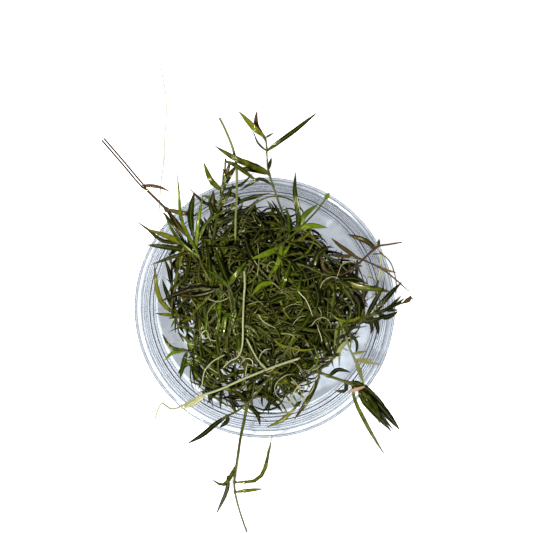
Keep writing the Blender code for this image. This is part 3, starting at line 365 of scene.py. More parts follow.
class Heap:
    """Everything laid so far, as beads, so that a new piece can be shown to have room."""

    def __init__(self):
        self.centres = np.empty((0, 3))
        self.radii = np.empty(0)
        self.owners = np.empty(0, int)

    def has_room(self, beads, radii, owner, base=None):
        if not clear_of_cup(beads, radii):
            return False
        watched = self.owners != owner
        if base is not None:
            watched |= np.linalg.norm(self.centres - np.array(base), axis=1) > OWN_REACH
            beads, radii = beads[3:], radii[3:]
        apart = np.linalg.norm(self.centres[watched][None] - beads[:, None], axis=2)
        return bool((apart > self.radii[watched][None] + radii[:, None] + GAP).all())

    def add(self, beads, radii, owner):
        self.centres = np.vstack([self.centres, beads])
        self.radii = np.concatenate([self.radii, radii])
        self.owners = np.concatenate([self.owners, np.full(len(beads), owner)])


class Plant:
    """A strand as it lies: its stem's line and radius, and its leaves as place, line and width."""

    def __init__(self, name, tone, radius, line):
        self.name, self.tone, self.radius, self.line = name, tone, radius, line
        self.leaves, self.shoots, self.drawn = [], [], 0


def inner_profile():
    """The cup's inside from the floor's edge to the rim, as radius and height."""
    return [
        (FLOOR_RADIUS, FLOOR_TOP),
        (FLOOR_RADIUS + CORNER_RADIUS, FLOOR_TOP + CORNER_RADIUS),
        (MOUTH_RADIUS - SHOULDER_STEP, SHOULDER_HEIGHT),
        (MOUTH_RADIUS - 0.2, SHOULDER_HEIGHT + 1.0),
        (MOUTH_RADIUS, RIM_TOP - 1.2),
        (MOUTH_RADIUS + MOUTH_FLARE, RIM_TOP),
    ]


def clear_of_cup(beads, radii):
    """True where every bead is in the cup's hollow, over its rim or outside it, and off the table."""
    out = np.hypot(beads[:, 0], beads[:, 1])
    height = beads[:, 2]
    walls, heights = zip(*inner_profile())
    inner = np.interp(height, heights, walls)
    over = height > RIM_TOP + radii + GAP
    within = (out < inner - radii - GAP - FACET_SAG) & (height > FLOOR_TOP + radii + GAP)
    outside = (out > RIM_RADIUS + radii + GAP) & (height > radii)
    return bool((over | within | outside).all())


def below_eye(points, lift=0.0, pinned=False):
    """Points seen from above, put in their true place: a low one lies further out than it looks.

    A lift raises them. With pinned set it grows along the points, from nothing before the first.
    """
    placed = []
    for i, (x, y, z) in enumerate(points):
        share = (i + 1) / len(points) if pinned else min(1.0, max(0.0, (z - 2) / 40))
        z += lift * share
        spread = (EYE[2] - z) / (EYE[2] - RIM_TOP)
        placed.append((EYE[0] + (x - EYE[0]) * spread, EYE[1] + (y - EYE[1]) * spread, z))
    return placed


def leaf_radii(count, wide):
    """A leaf's half width at each of its beads."""
    return 0.5 * wide * np.interp(np.linspace(0, 1, count), SHAPE_PLACES, SHAPE_WIDTHS)


def lay_stem(heap, strand, owner):
    """The strand's stem, lifted or lowered until it has room, or None where it has none."""
    for lift in STEM_LIFTS:
        line = Line(below_eye(strand.stem, lift))
        beads = line.beads()
        radii = np.full(len(beads), strand.radius)
        if heap.has_room(beads, radii, owner):
            heap.add(beads, radii, owner)
            return Plant(strand.name, strand.tone, strand.radius, line)
    return None


def lay_leaf(heap, plant, owner, share, wide, through):
    """Adds one drawn leaf to the plant, with its tip lifted or lowered until it has room."""
    place = share * plant.line.length
    base = plant.line.at(place)
    for lift in LEAF_LIFTS:
        line = Line([base, *below_eye(through, lift, pinned=True)])
        if add_if_free(heap, plant, place, line, wide, owner):
            return


def add_if_free(heap, plant, place, line, wide, owner):
    """Adds a leaf to the plant where it has room, and says whether it had."""
    beads = line.beads()
    radii = leaf_radii(len(beads), wide)
    if not heap.has_room(beads, radii, owner, base=beads[0]):
        return False
    heap.add(beads, radii, owner)
    plant.leaves.append((place, line, wide))
    return True


def reach_at(bearing):
    """How far the heap reaches at a bearing in degrees."""
    return float(np.interp(bearing, HEAP_BEARINGS, HEAP_REACHES))


def heap_reach(x, y):
    return reach_at(math.degrees(math.atan2(y, x)) % 360)


def crown(out):
    """The heap's height at a distance from the cup's axis."""
    return HEAP_TOP - HEAP_FALL * (out / CROWN_RADIUS) ** 2


def in_heap(beads, margin=0.0):
    """True where every bead is inside the heap's outline and under its crown."""
    for x, y, z in beads:
        out = math.hypot(x, y)
        if out > heap_reach(x, y) + margin or z > crown(out) + margin:
            return False
    return True


def hidden_stem(heap, rng, owner):
    """A seeded stem somewhere in the heap, clear of what is there."""
    for _ in range(STEM_TRIES):
        route = straight_route(rng) if owner % 2 else curled_route(rng)
        line = Line(route)
        beads = line.beads()
        radii = np.full(len(beads), HIDDEN_RADIUS)
        if in_heap(beads) and heap.has_room(beads, radii, owner):
            heap.add(beads, radii, owner)
            return line
    return None


def straight_route(rng):
    """Points across the heap's middle, a little bent."""
    out, bearing, heading = rng.uniform(0, 26), rng.uniform(0, 2 * math.pi), rng.uniform(0, 2 * math.pi)
    middle = np.array([out * math.cos(bearing), out * math.sin(bearing), hidden_height(rng)])
    ahead = np.array([math.cos(heading), math.sin(heading), rng.uniform(-0.25, 0.25)])
    bulge = np.array([-ahead[1], ahead[0], 0]) * rng.uniform(-9, 9)
    half = rng.uniform(*HIDDEN_LENGTHS) / 2
    return [middle + ahead * half * t + bulge * (1 - t * t) for t in (-1, -0.5, 0, 0.5, 1)]


def curled_route(rng):
    """Points round the heap's middle, at a share of its reach that drifts on the way."""
    share, drift, height = rng.uniform(0.62, 0.97), rng.uniform(-0.5, 0.1), hidden_height(rng)
    bearing, rise = rng.uniform(0, 360), rng.uniform(-11, 11)
    sweep = math.degrees(rng.uniform(*HIDDEN_LENGTHS) / (share * 42)) * rng.choice((-1, 1))
    points = []
    for t in (0, 0.25, 0.5, 0.75, 1):
        turned = (bearing + sweep * t) % 360
        out = (share + drift * t * t) * reach_at(turned)
        along = math.radians(turned)
        points.append((out * math.cos(along), out * math.sin(along), height + rise * (t - 0.5)))
    return points


def hidden_height(rng):
    return 5 + 47 * math.sqrt(rng.uniform(0, 1))


def grow_whorls(heap, plant, rng, owner):
    """Leaves at even steps along a stem, each turned until it finds room."""
    for place in np.arange(WHORL_STEP / 2, plant.line.length - 1, WHORL_STEP):
        for k in range(WHORL_LEAVES):
            grow_leaf(heap, plant, rng, owner, place, math.pi * k + rng.normal(0, 0.5))


def grow_leaf(heap, plant, rng, owner, place, turn):
    """A seeded leaf that leans away from the stem, swung round it until it has room."""
    base, ahead = plant.line.at(place), plant.line.heading(place)
    level = ahead.cross(UP).normalized()
    length, wide = rng.uniform(*LEAF_LENGTHS), rng.uniform(*LEAF_WIDTHS)
    lean = math.radians(rng.uniform(38, 68))
    bend = rng.uniform(-0.16, 0.22)
    for attempt in range(LEAF_TRIES):
        swing = 0.32 * attempt * (-1) ** attempt
        outward = Matrix.Rotation(turn + swing, 3, ahead) @ level
        start = ahead * math.cos(lean) + outward * math.sin(lean)
        middle = base + start * length * 0.5
        tip = base + (start + (outward - ahead) * bend).normalized() * length
        line = Line([base, middle, tip], fineness=6)
        if in_heap(line.points[2:], margin=4.0):
            if add_if_free(heap, plant, place, line, wide, owner):
                return


def lay_heap():
    """All plants, from the ones on top to the ones below, which grow in the room left to them."""
    rng = np.random.default_rng(SEED)
    heap = Heap()
    plants = [lay_stem(heap, strand, owner)
              for owner, strand in enumerate(TOP_STRANDS + ROOTS + EDGE_STRANDS)]
    for owner, strand in enumerate(TOP_STRANDS):
        for share, wide, *through in strand.leaves:
            lay_leaf(heap, plants[owner], owner, share, wide, through)
    for number in range(HIDDEN_STRANDS):
        line = hidden_stem(heap, rng, len(plants))
        tone = HIDDEN_TONES[number % len(HIDDEN_TONES)]
        plants.append(Plant(f"strand_{number + 1:02d}", tone, HIDDEN_RADIUS, line))
    for owner in range(len(TOP_STRANDS + ROOTS), len(plants)):
        grow_whorls(heap, plants[owner], rng, owner)
    return plants


# Leaves, shoots and roots that are too many and too fine for the solids
DRESS_SEED = 7
EXTRA_STEP = 4.6
DRAWN_EXTRA_STEP = 3 * EXTRA_STEP
EXTRA_TURN = 2.1
EXTRA_LENGTHS = (10.0, 24.0)
EXTRA_WIDTHS = (0.8, 1.9)
EXTRA_LEANS = (18, 75)
EXTRA_WANDERS = (0.05, 0.32)
EXTRA_MARGINS = (1.0, 7.5)
ROOM_TRIES = 5
EDGE_SHARE, EDGE_KEPT = 0.8, 0.5
ABOVE_CROWN = -4.0
LEVELLED = 0.4
SINK = (2.0, 26.0)
SHOOT_STEP = 9.5
SHOOT_LENGTHS = (10.0, 22.0)
SHOOT_TRIES = 6
SHOOT_LEAVES = (6.0, 14.0)
SHOOT_LEAF_WIDTHS = (0.8, 1.5)
SHOOT_LEANS = (25, 60)
SHOOT_RINGS = 6
SHOOT_TIP_LEAVES = 6
RUNNERS = 170
RUNNER_PIECES = 7
RUNNER_LENGTHS = (24.0, 85.0)
RUNNER_RADII = (0.25, 0.5)
RUNNER_LEAFY = 0.4
RUNNER_LEAVES = (11, 24)
RUNNER_LEAF_WIDTHS = (0.9, 1.8)
RUNNER_LEANS = (12, 50)
RUNNER_SPREAD = 44
RUNNER_DEPTHS = (8, 44)
RUNNER_LIFT = 1.5
RUNNER_CURL = 0.28
RUNNER_WANDER = 0.22
THREADS = 72
THREAD_LENGTHS = (6.0, 22.0)
THREAD_RADII = (0.1, 0.2)
THREAD_SPREAD = 6
THREAD_TRIES = 6
# Places where thin roots crowd. The first ones are at the right, and part of their roots are brown
THREAD_CROWDS = ((46, 17, 51.5), (49, 12, 51), (42, 21, 51), (-22, -12, 56), (-8, -24, 58), (4, -28, 56),
                 (22, -12, 57), (26, -34, 52.5), (-4, 12, 60), (14, -2, 59), (-30, -18, 52))
BROWN_CROWDS = 3

# A leaf, from its base to its tip: width shares, and a section with a fold and a midrib below
BLADE_PLACES = (0.0, 0.05, 0.12, 0.24, 0.38, 0.52, 0.66, 0.78, 0.88, 0.95)
BLADE_WIDTHS = (0.62, 0.5, 0.7, 0.92, 1.0, 0.97, 0.84, 0.64, 0.4, 0.2)
BLADE_SECTION = ((1, 0.26), (0.5, 0.2), (0, 0.03), (-0.5, 0.2), (-1, 0.26), (0, -0.13))
FULL_THICK_WIDTH = 1.6
TUBE_SEGMENTS = 8
TUBE_RING_GAP = 1.6
LEAF, STEM, BROWN, TAN = 0.0, 0.45, 0.7, 1.0
DRAWN_ROLL, GROWN_ROLL = 0.3, 1.0

# Brown leaves among the drawn ones, by strand and number, and pieces that lie on a strand: each
# has its kind, its width and the points that it passes
WORN_LEAVES = {"back_spray": (7, 8), "cut_stem_back_left": (0,), "right_branch": (9,)}
ON_TOP = {
    "front_right_bundle": [
        (TAN, 1.7, (37.4, -37.6, 52.3), (41.5, -36.3, 53.6), (46, -34.9, 52.3)),
        (BROWN, 1.3, (47.5, -45.8, 45.5), (50.2, -48.8, 43), (51.6, -52, 40.5)),
        (LEAF, 1.9, (44, -38, 49.8), (50, -45.4, 45), (58.4, -55.6, 35)),
        (LEAF, 1.6, (45, -36.6, 50.5), (50.2, -40.2, 49), (55.4, -46.2, 44.5))],
    "right_branch": [
        (LEAF, 1.8, (44, -5.5, 50.8), (49, -5.4, 51.5), (54.5, -3.8, 50.5)),
        (LEAF, 1.7, (46, -3.5, 51), (48, -8, 50.5), (47.5, -12, 49)),
        (LEAF, 1.7, (49, -2.5, 51), (54, -1, 52), (57.5, 2.2, 51)),
        (LEAF, 1.5, (54, -1, 50), (59, 1.5, 50), (63.5, 5, 48.2)),
        (BROWN, 1.4, (62, 2.4, 47.4), (65, 4.4, 46.8), (66.8, 3.4, 46.2))],
    "back_left_column": [
        (LEAF, 2.1, (-20, 50, 52.5), (-18, 56, 54), (-18.6, 63, 55)),
        (LEAF, 1.8, (-22, 40, 52.5), (-24.6, 46, 54.5), (-24.4, 53, 55)),
        (LEAF, 1.9, (-21, 44, 52.5), (-17, 49.5, 54), (-13.8, 56, 54)),
        (BROWN, 1.7, (-18.4, 58, 53.3), (-16.5, 62, 54.5), (-15.4, 66.5, 54.5)),
        (LEAF, 1.7, (-20, 42, 53), (-9, 48.5, 54), (3, 51.5, 53)),
        (LEAF, 1.5, (-21.4, 38, 53), (-12, 41, 54.5), (-3, 39, 55)),
        (LEAF, 1.6, (-20.4, 45, 52.5), (-27, 47, 54), (-34, 53.5, 54.5)),
        (LEAF, 1.4, (-19, 53, 52.5), (-11, 55, 54), (-5, 60.5, 53))],
    "bright_left": [
        (LEAF, 1.7, (-29, 22, 54.5), (-39, 31, 55), (-45.5, 43, 53.5)),
        (LEAF, 1.5, (-30.6, 28, 55), (-26, 38, 56), (-17, 44.5, 56)),
        (LEAF, 1.8, (-19.5, 10, 56), (-20.5, -4, 57), (-21.5, -19, 55)),
        (LEAF, 1.3, (-23, 3, 54.5), (-26.5, -7, 55), (-22, -20, 54))],
    "left_spray": [
        (LEAF, 1.4, (-35, 28, 52), (-40, 36, 54), (-45.6, 43.4, 53)),
        (LEAF, 1.7, (-33, 25, 53), (-42, 22.5, 53.5), (-50.5, 19.4, 51)),
        (LEAF, 1.8, (-33, 25, 52), (-34.4, 16, 53), (-38, 8, 51))],
    "front_trailer": [
        (LEAF, 2.0, (-12.4, -70, 42), (-18, -79, 36.5), (-24.3, -76.5, 36))],
    "centre_fan": [
        (LEAF, 1.6, (-16.5, 12, 60), (-13, -2, 59.6), (-17, -14, 58.6), (-15, -26, 56)),
        (LEAF, 1.2, (-12, 8, 60), (-14.5, -6, 59.4), (-11, -20, 58))],
    "left_wide_leaf": [
        (LEAF, 2.3, (-20, 8.5, 57), (-30, 5.4, 56), (-40.5, 5.8, 53.5))],
    "pale_runner": [
        (LEAF, 2.2, (-27, -39.6, 51.4), (-33, -43.2, 50.5), (-37.6, -45.6, 49.6))],
}
STRAND_TONES = {"front_right_bundle": 0.6, "back_left_column": 0.62, "front_trailer": 0.72,
                "left_spray": 0.55, "back_spray": 0.55, "bright_left": 0.75,
                "bright_tip_back_right": 0.85, "centre_green": 0.5, "centre_fan": 0.45}
# Painted shade: the hidden strands, deep in the heap, get their tone darkened by this factor
HIDDEN_SHADE = 0.4
DRAWN_WIDER = 1.2
SPLIT_STEM, SPLIT_FROM = "cut_stem_back_left", 0.69
SPLIT_APART, SPLIT_RADIUS = 0.62, 0.42
BARE_STEMS = ("pale_stem_back", "pale_runner")
TOP_NAMES = {strand.name for strand in TOP_STRANDS}

# The cup's inside and outside as it is moulded, as radius and height
CUP_SEGMENTS = 144
CUP_SECTION = (
    (0, 1.35), (30, 1.3), (40, 1.15), (41, 0.95), (48.9, 0.95), (50.3, 1.4), (51.4, 2.6), (51.9, 4.2),
    (52.45, 12.6), (52.7, 13.2), (52.8, 14.2), (53.25, 21.9), (53.6, 22.3), (53.7, 23.2), (53.95, 26.6),
    (54.15, 27), (54.2, 27.8), (54.35, 31.0), (54.6, 31.5), (54.6, 32.4), (54.75, 36.5), (55.1, 37.2),
    (55.15, 38.2), (55.3, 43.4), (55.5, 44.3), (56.0, 44.8), (56.6, 45.0), (57.5, 45.0), (58.1, 44.8),
    (58.45, 44.3), (58.5, 43.6), (58.5, 41.7), (58.3, 41.6), (57.85, 41.7), (57.8, 43.3), (57.3, 43.9),
    (56.5, 43.8), (56.0, 43.0), (55.85, 38.2), (55.75, 37.0), (55.35, 36.3), (55.0, 31.3), (54.6, 26.8),
    (53.9, 21.9), (53.1, 12.6), (52.45, 3.4), (51.6, 1.4), (50.2, 0.25), (49.3, 0), (46, 0), (45.4, 0.3),
    (0, 0.35),
)
WALL_POINTS = slice(4, 26)
CORNER_SUPPORT = 0.35
# Painted shade: dark rings painted into the plastic's colour where its thick edges and steps look darker:
# radii where such a ring starts, peaks and ends
EDGE_SHADE_LINES = ((57.5, 58.15, 58.9), (56.9, 57.15, 57.4), (55.1, 55.3, 55.5), (53.4, 53.55, 53.7),
              (54.2, 54.35, 54.5), (52.5, 52.65, 52.8))
# The colour of the painted shade in those rings
EDGE_SHADE_TINT = (0.12, 0.135, 0.16)
DROPS = 260
DROP_SIZES = (0.16, 0.42)
# Where drops crowd: bearing, its spread in degrees, and how much larger they are
DROP_CROWDS = ((188, 8, 0.6), (352, 12, 1.0), (340, 10, 0.8), (298, 9, 0.6), (35, 14, 0.5), (205, 12, 0.6))


# The light and the camera. The sun's width is in degrees
SURROUND_STRENGTH = 0.24
SUN_STRENGTH = 9.0
SUN_WIDTH = 2.5
SUN_FROM = (-0.16, -0.24, 0.9)
LENS = 90.5


def bend_route(start, heading, length, rng, wander, pieces=4):
    """Points of a limp stretch that starts one way, curls, and turns a little at every piece."""
    points, ahead = [Vector(start)], Vector(heading).normalized()
    curl = Matrix.Rotation(rng.normal(0, wander), 3, "Z")
    for _ in range(pieces):
        ahead = (curl @ ahead + Vector(rng.normal(0, 0.5 * wander, 3))).normalized()
        points.append(points[-1] + ahead * (length / pieces))
    return points


def under_crown(beads, depth):
    """True where every bead is at least that far below the heap's crown."""
    return bool((beads[:, 2] < crown(np.hypot(beads[:, 0], beads[:, 1])) - depth).all())


def fits(line, half_width, margin):
    """True where a line of that half width has room in the cup and is in the heap."""
    beads = line.beads()
    return clear_of_cup(beads, np.full(len(beads), half_width)) and in_heap(beads, margin)


def grow_around(plant, place, rng, turn, lean, length, wide, wander, depth=ABOVE_CROWN):
    """One more leaf on the plant, where the cup and the heap's outline leave room for it."""
    base, ahead = plant.line.at(place), plant.line.heading(place)
    level = ahead.cross(UP).normalized()
    lean = math.radians(lean)
    margin = rng.uniform(*EXTRA_MARGINS)
    for attempt in range(ROOM_TRIES):
        outward = Matrix.Rotation(turn + 0.5 * attempt, 3, ahead) @ level
        heading = ahead * math.cos(lean) + outward * math.sin(lean)
        heading.z *= LEVELLED
        line = Line(bend_route(base, heading, length, rng, wander), fineness=5)
        beads = line.beads()
        if (clear_of_cup(beads, leaf_radii(len(beads), wide)) and in_heap(beads[2:], margin=margin)
                and under_crown(beads[2:], depth)):
            plant.leaves.append((place, line, wide))
            return


def dress_strand(plant, rng, below):
    """Leaves all along a strand's stretch in the heap, and side shoots with crowded tips."""
    for place in np.arange(1.5, plant.line.length - 1, EXTRA_STEP if below else DRAWN_EXTRA_STEP):
        x, y, z = plant.line.at(place)
        if not in_heap([(x, y, z)], margin=3.0):
            continue
        near_edge = math.hypot(x, y) > EDGE_SHARE * heap_reach(x, y)
        if near_edge and rng.uniform() < EDGE_KEPT:
            continue
        start = rng.uniform(0, 2 * math.pi)
        for k in range(3):
            grow_around(plant, place + rng.uniform(-0.6, 0.6), rng, start + EXTRA_TURN * k,
                        rng.uniform(*EXTRA_LEANS), rng.uniform(*EXTRA_LENGTHS),
                        rng.uniform(*EXTRA_WIDTHS), wander=rng.uniform(*EXTRA_WANDERS),
                        depth=rng.uniform(*SINK) if below else ABOVE_CROWN)
    if not below:
        return
    for place in np.arange(rng.uniform(4, 10), plant.line.length - 3, SHOOT_STEP):
        if plant.line.at(place).z > 8 and in_heap([plant.line.at(place)]):
            add_shoot(plant, place, rng)


def add_shoot(plant, place, rng):
    """A side shoot: a thin stem whose leaves crowd towards its tip."""
    base, ahead = plant.line.at(place), plant.line.heading(place)
    level = ahead.cross(UP).normalized()
    for _ in range(SHOOT_TRIES):
        outward = Matrix.Rotation(rng.uniform(0, 2 * math.pi), 3, ahead) @ level
        heading = ahead * 0.6 + outward + UP * 0.2
        line = Line(bend_route(base, heading, rng.uniform(*SHOOT_LENGTHS), rng, 0.2), fineness=6)
        if fits(line, 0.5, margin=2.0):
            break
    else:
        return
    shoot = Plant("", plant.tone, plant.radius * 0.6, line)
    plant.shoots.append(shoot)
    for share in np.linspace(0.25, 0.97, SHOOT_RINGS):
        start = rng.uniform(0, 2 * math.pi)
        count = 3 if share < 0.9 else SHOOT_TIP_LEAVES
        for k in range(count):
            grow_around(shoot, share * line.length, rng, start + 2 * math.pi * k / count,
                        rng.uniform(*SHOOT_LEANS), rng.uniform(*SHOOT_LEAVES),
                        rng.uniform(*SHOOT_LEAF_WIDTHS), wander=0.24, depth=rng.uniform(*SINK))


def dress_runner(runner, length, rng):
    """Leaves at some of a runner's places, one or two at each."""
    for place in np.arange(rng.uniform(2, 8), length - 2, rng.uniform(6, 12)):
        if rng.uniform() < RUNNER_LEAFY:
            start = rng.uniform(0, 2 * math.pi)
            for k in range(int(rng.integers(1, 3))):
                grow_around(runner, place, rng, start + 2 * k, rng.uniform(*RUNNER_LEANS),
                            rng.uniform(*RUNNER_LEAVES), rng.uniform(*RUNNER_LEAF_WIDTHS), wander=0.3)


def lay_runners(rng):
    """Thin bare and leafy stems that wind over the heap's top, where the cup leaves them room.

    Every third one lies deep in the heap.
    """
    runners = []
    while len(runners) < RUNNERS:
        bearing, out = rng.uniform(0, 2 * math.pi), RUNNER_SPREAD * math.sqrt(rng.uniform(0, 1))
        x, y = out * math.cos(bearing), out * math.sin(bearing)
        length = rng.uniform(*RUNNER_LENGTHS)
        turn, curl = rng.uniform(0, 2 * math.pi), rng.normal(0, RUNNER_CURL)
        depth = 0 if len(runners) % 3 else rng.uniform(*RUNNER_DEPTHS)
        route = []
        for _ in range(RUNNER_PIECES):
            top = crown(math.hypot(x, y)) + RUNNER_LIFT
            route.append((x, y, max(3, top - depth - rng.uniform(0, 5))))
            turn += curl + rng.normal(0, RUNNER_WANDER)
            x += math.cos(turn) * length / RUNNER_PIECES
            y += math.sin(turn) * length / RUNNER_PIECES
        line = Line(route, fineness=6)
        x, y, _ = line.beads().mean(axis=0)
        at_back_left = -46 < x < 4 and y > 8
        if fits(line, 0.6, margin=9 if at_back_left else 2.5):
            runners.append(Plant("", "", rng.uniform(*RUNNER_RADII), line))
            dress_runner(runners[-1], length, rng)
    return runners


def prism(section, rings):
    """A closed mesh of rings, each like the section, one unit apart along Z, and its top face."""
    bm = bmesh.new()
    made = bmesh.ops.create_cone(bm, cap_ends=True, segments=len(section), radius1=1, radius2=1,
                                 depth=1, matrix=Matrix.Translation((0, 0, 0.5)))["verts"]
    for level in (0, 1):
        ring = sorted((v for v in made if round(v.co.z) == level),
                      key=lambda v: math.atan2(v.co.y, v.co.x) % math.tau)
        for vert, (x, y) in zip(ring, section):
            vert.co = (x, y, level)
    top = max(bm.faces, key=lambda f: f.calc_center_median().z)
    for _ in range(rings - 2):
        top = bmesh.ops.extrude_discrete_faces(bm, faces=[top])["faces"][0]
        for vert in top.verts:
            vert.co.z += 1
    return bm, top


def blade_template():
    """A leaf: a prism whose last ring closes in a point."""
    bm, top = prism(BLADE_SECTION, len(BLADE_PLACES))
    top = bmesh.ops.extrude_discrete_faces(bm, faces=[top])["faces"][0]
    bmesh.ops.pointmerge(bm, verts=top.verts[:], merge_co=(0, 0, len(BLADE_PLACES)))
    return as_template(bm)


@cache
def tube_template(rings):
    circle = [(math.cos(a), math.sin(a)) for a in
              (math.tau * (k + 0.5) / TUBE_SEGMENTS for k in range(TUBE_SEGMENTS))]
    return as_template(prism(circle, rings)[0])


def as_mesh(bm, name):
    mesh = bpy.data.meshes.new(name)
    bm.to_mesh(mesh)
    bm.free()
    return mesh


def as_template(bm):
    """The mesh and its points."""
    bmesh.ops.recalc_face_normals(bm, faces=bm.faces)
    mesh = as_mesh(bm, "template")
    points = np.empty(3 * len(mesh.vertices))
    mesh.vertices.foreach_get("co", points)
    return mesh, points.reshape(-1, 3)


class Piece:
    """One object in the making: copies of templates, each put in its place."""

    def __init__(self):
        self.bm = bmesh.new()
        self.points, self.paint = [], []

    def add(self, mesh, points, tone, along, across, kind):
        """One copy of the mesh with new points, painted with what its material reads."""
        self.bm.from_mesh(mesh)
        self.points.append(points)
        paint = np.empty((len(points), 4))
        paint[:, 0], paint[:, 1], paint[:, 2], paint[:, 3] = tone, along, across, kind
        self.paint.append(paint)

    def finish(self, name, finish, slot, *nodes):
        """Makes the object, which takes the place of the named nodes."""
        mesh = as_mesh(self.bm, name)
        mesh.vertices.foreach_set("co", (np.vstack(self.points) * MM).astype(np.float32).ravel())
        paint = mesh.attributes.new("paint", "FLOAT_COLOR", "POINT")
        paint.data.foreach_set("color", np.vstack(self.paint).astype(np.float32).ravel())
        mesh.update()
        settle(name, mesh, finish, slot, *nodes)


def settle(name, mesh, finish, slot, *nodes):
    """Puts a mesh in the scene, smooth, on the one body, in place of the named nodes."""
    mesh.shade_smooth()
    mesh.materials.append(finish)
    obj = bpy.data.objects.new(name, mesh)
    bpy.context.scene.collection.objects.link(obj)
    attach(obj, "root")
    for node in nodes:
        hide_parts(node)


def unit(rows):
    return rows / np.maximum(np.linalg.norm(rows, axis=1), 1e-9)[:, None]


def places_on(line, distances):
    """Centres and headings of a line at some distances."""
    def centres(at):
        return np.column_stack([np.interp(at, line.distances, c) for c in line.points.T])
    near = 0.02 * line.length
    return centres(distances), unit(centres(distances + near) - centres(distances - near))


def add_blade(piece, template, line, wide, rng, tone, kind, roll_limit):
    """A leaf along a line, face up but for a roll, with a slow twist and wavy edges."""
    mesh, points = template
    across, up, ring = points[:, 0], points[:, 1], np.round(points[:, 2]).astype(int)
    shares = np.array((*BLADE_PLACES, 1.0))
    widths = np.array((*BLADE_WIDTHS, 0.0))
    centres, ahead = places_on(line, shares * line.length)
    facing = np.tile((0.0, 0.0, 1.0), (len(shares), 1))
    if abs(ahead[:, 2]).mean() > 0.8:
        facing[:] = (0.6, 0.8, 0.0)
    side = unit(np.cross(ahead, facing))
    normal = np.cross(side, ahead)
    turn = rng.uniform(-roll_limit, roll_limit) + rng.normal(0, 0.5) * shares
    side, normal = (side * np.cos(turn)[:, None] + normal * np.sin(turn)[:, None],
                    normal * np.cos(turn)[:, None] - side * np.sin(turn)[:, None])
    wave = 0.1 * np.sin(shares * rng.uniform(14, 24) + rng.uniform(0, 6))
    thick = min(1.0, wide / FULL_THICK_WIDTH) * (1 - 0.6 * shares)
    placed = (centres[ring] + side[ring] * (across * widths[ring] * wide / 2)[:, None]
              + normal[ring] * (up * thick[ring] + wave[ring] * abs(across) * thick[ring])[:, None])
    piece.add(mesh, placed, tone, shares[ring], 0.5 + across / 2, kind)


def add_tube(piece, line, radius, tone, knots=(), kind=STEM, taper=0.3):
    """A round stem along a line, a little thicker at its knots and rounded at both ends."""
    count = max(4, int(line.length / TUBE_RING_GAP) + 3)
    distances = np.concatenate([[0], np.linspace(0.25, line.length - 0.25, count - 2), [line.length]])
    mesh, points = tube_template(count)
    across, up, ring = points[:, 0], points[:, 1], np.round(points[:, 2]).astype(int)
    centres, ahead = places_on(line, distances)
    sides, hint = [], np.array((0.31, 0.17, 0.93))
    for heading in ahead:
        side = np.cross(heading, hint)
        side /= np.linalg.norm(side)
        hint = np.cross(side, heading)
        sides.append(side)
    side = np.array(sides)
    normal = np.cross(side, ahead)
    radii = radius * (1 - taper * (distances / line.length) ** 2)
    for knot in knots:
        radii = radii * (1 + 0.45 * np.exp(-((distances - knot) / 0.8) ** 2))
    radii[[0, -1]] *= 0.55
    placed = centres[ring] + (side[ring] * across[:, None] + normal[ring] * up[:, None]) * radii[ring, None]
    piece.add(mesh, placed, tone, (distances / line.length)[ring], 0.5 + across / 2, kind)


def add_plant(piece, plant, template, rng):
    """A plant's stem, its side shoots and all their leaves."""
    tone = rng.uniform(0.45, 0.85) if plant.tone == "grass_fresh" else rng.uniform(0.15, 0.8)
    tone = STRAND_TONES.get(plant.name, tone)
    # Painted shade: a hidden strand deep in the heap gets a darker tone
    if plant.name.startswith("strand_"):
        tone *= HIDDEN_SHADE
    knots = [place for place, _, _ in plant.leaves[:plant.drawn]]
    if plant.name == SPLIT_STEM:
        add_split_stem(piece, plant, tone, knots)
    else:
        add_tube(piece, plant.line, plant.radius, tone, knots)
    worn = WORN_LEAVES.get(plant.name, ())
    for k, (_, line, wide) in enumerate(plant.leaves):
        drawn = k < plant.drawn
        leaf_tone = float(np.clip(tone + rng.normal(0, 0.25), 0, 1))
        wide *= DRAWN_WIDER if drawn and plant.name in TOP_NAMES else 1
        add_blade(piece, template, line, wide, rng, leaf_tone, BROWN if k in worn else LEAF,
                  DRAWN_ROLL if drawn else GROWN_ROLL)
    for kind, wide, *points in ON_TOP.get(plant.name, ()):
        add_blade(piece, template, Line(below_eye(points)), wide, rng, tone, kind, DRAWN_ROLL)
    for shoot in plant.shoots:
        add_plant(piece, shoot, template, rng)


def add_split_stem(piece, plant, tone, knots):
    """A stem that is split in two thin halves from its knot to its cut end."""
    from_knot = SPLIT_FROM * plant.line.length
    whole = [plant.line.at(d) for d in np.linspace(0, from_knot, 14)]
    add_tube(piece, Line(whole), plant.radius, tone, [*knots, from_knot], taper=0)
    for offset in (-SPLIT_APART, SPLIT_APART):
        half = []
        for d in np.linspace(from_knot - 0.5, plant.line.length, 9):
            side = plant.line.heading(d).cross(UP).normalized()
            half.append(plant.line.at(d) + side * offset)
        add_tube(piece, Line(half), SPLIT_RADIUS, tone, taper=0)


def make_material(name, surface):
    """A material whose surface a function makes. It gets a function that adds nodes."""
    made = bpy.data.materials.new(name)
    made.use_nodes = True
    tree = made.node_tree
    tree.nodes.clear()

    def add(kind, inputs=(), **settings):
        """A node with its sockets set, or linked to where another socket is given."""
        node = tree.nodes.new(kind)
        for key, value in settings.items():
            setattr(node, key, value)
        for key, value in dict(inputs).items():
            if isinstance(value, bpy.types.NodeSocket):
                tree.links.new(value, node.inputs[key])
            else:
                node.inputs[key].default_value = value
        return node

    add("ShaderNodeOutputMaterial", {"Surface": surface(add)})
    return made


def ramp(add, factor, colours):
    """Colours from low to high, evenly spread."""
    node = add("ShaderNodeValToRGB", {"Fac": factor})
    stops = node.color_ramp.elements
    while len(stops) < len(colours):
        stops.new(0.5)
    for k, colour in enumerate(colours):
        stops[k].position = k / (len(colours) - 1)
        stops[k].color = (*colour, 1)
    return node.outputs["Color"]


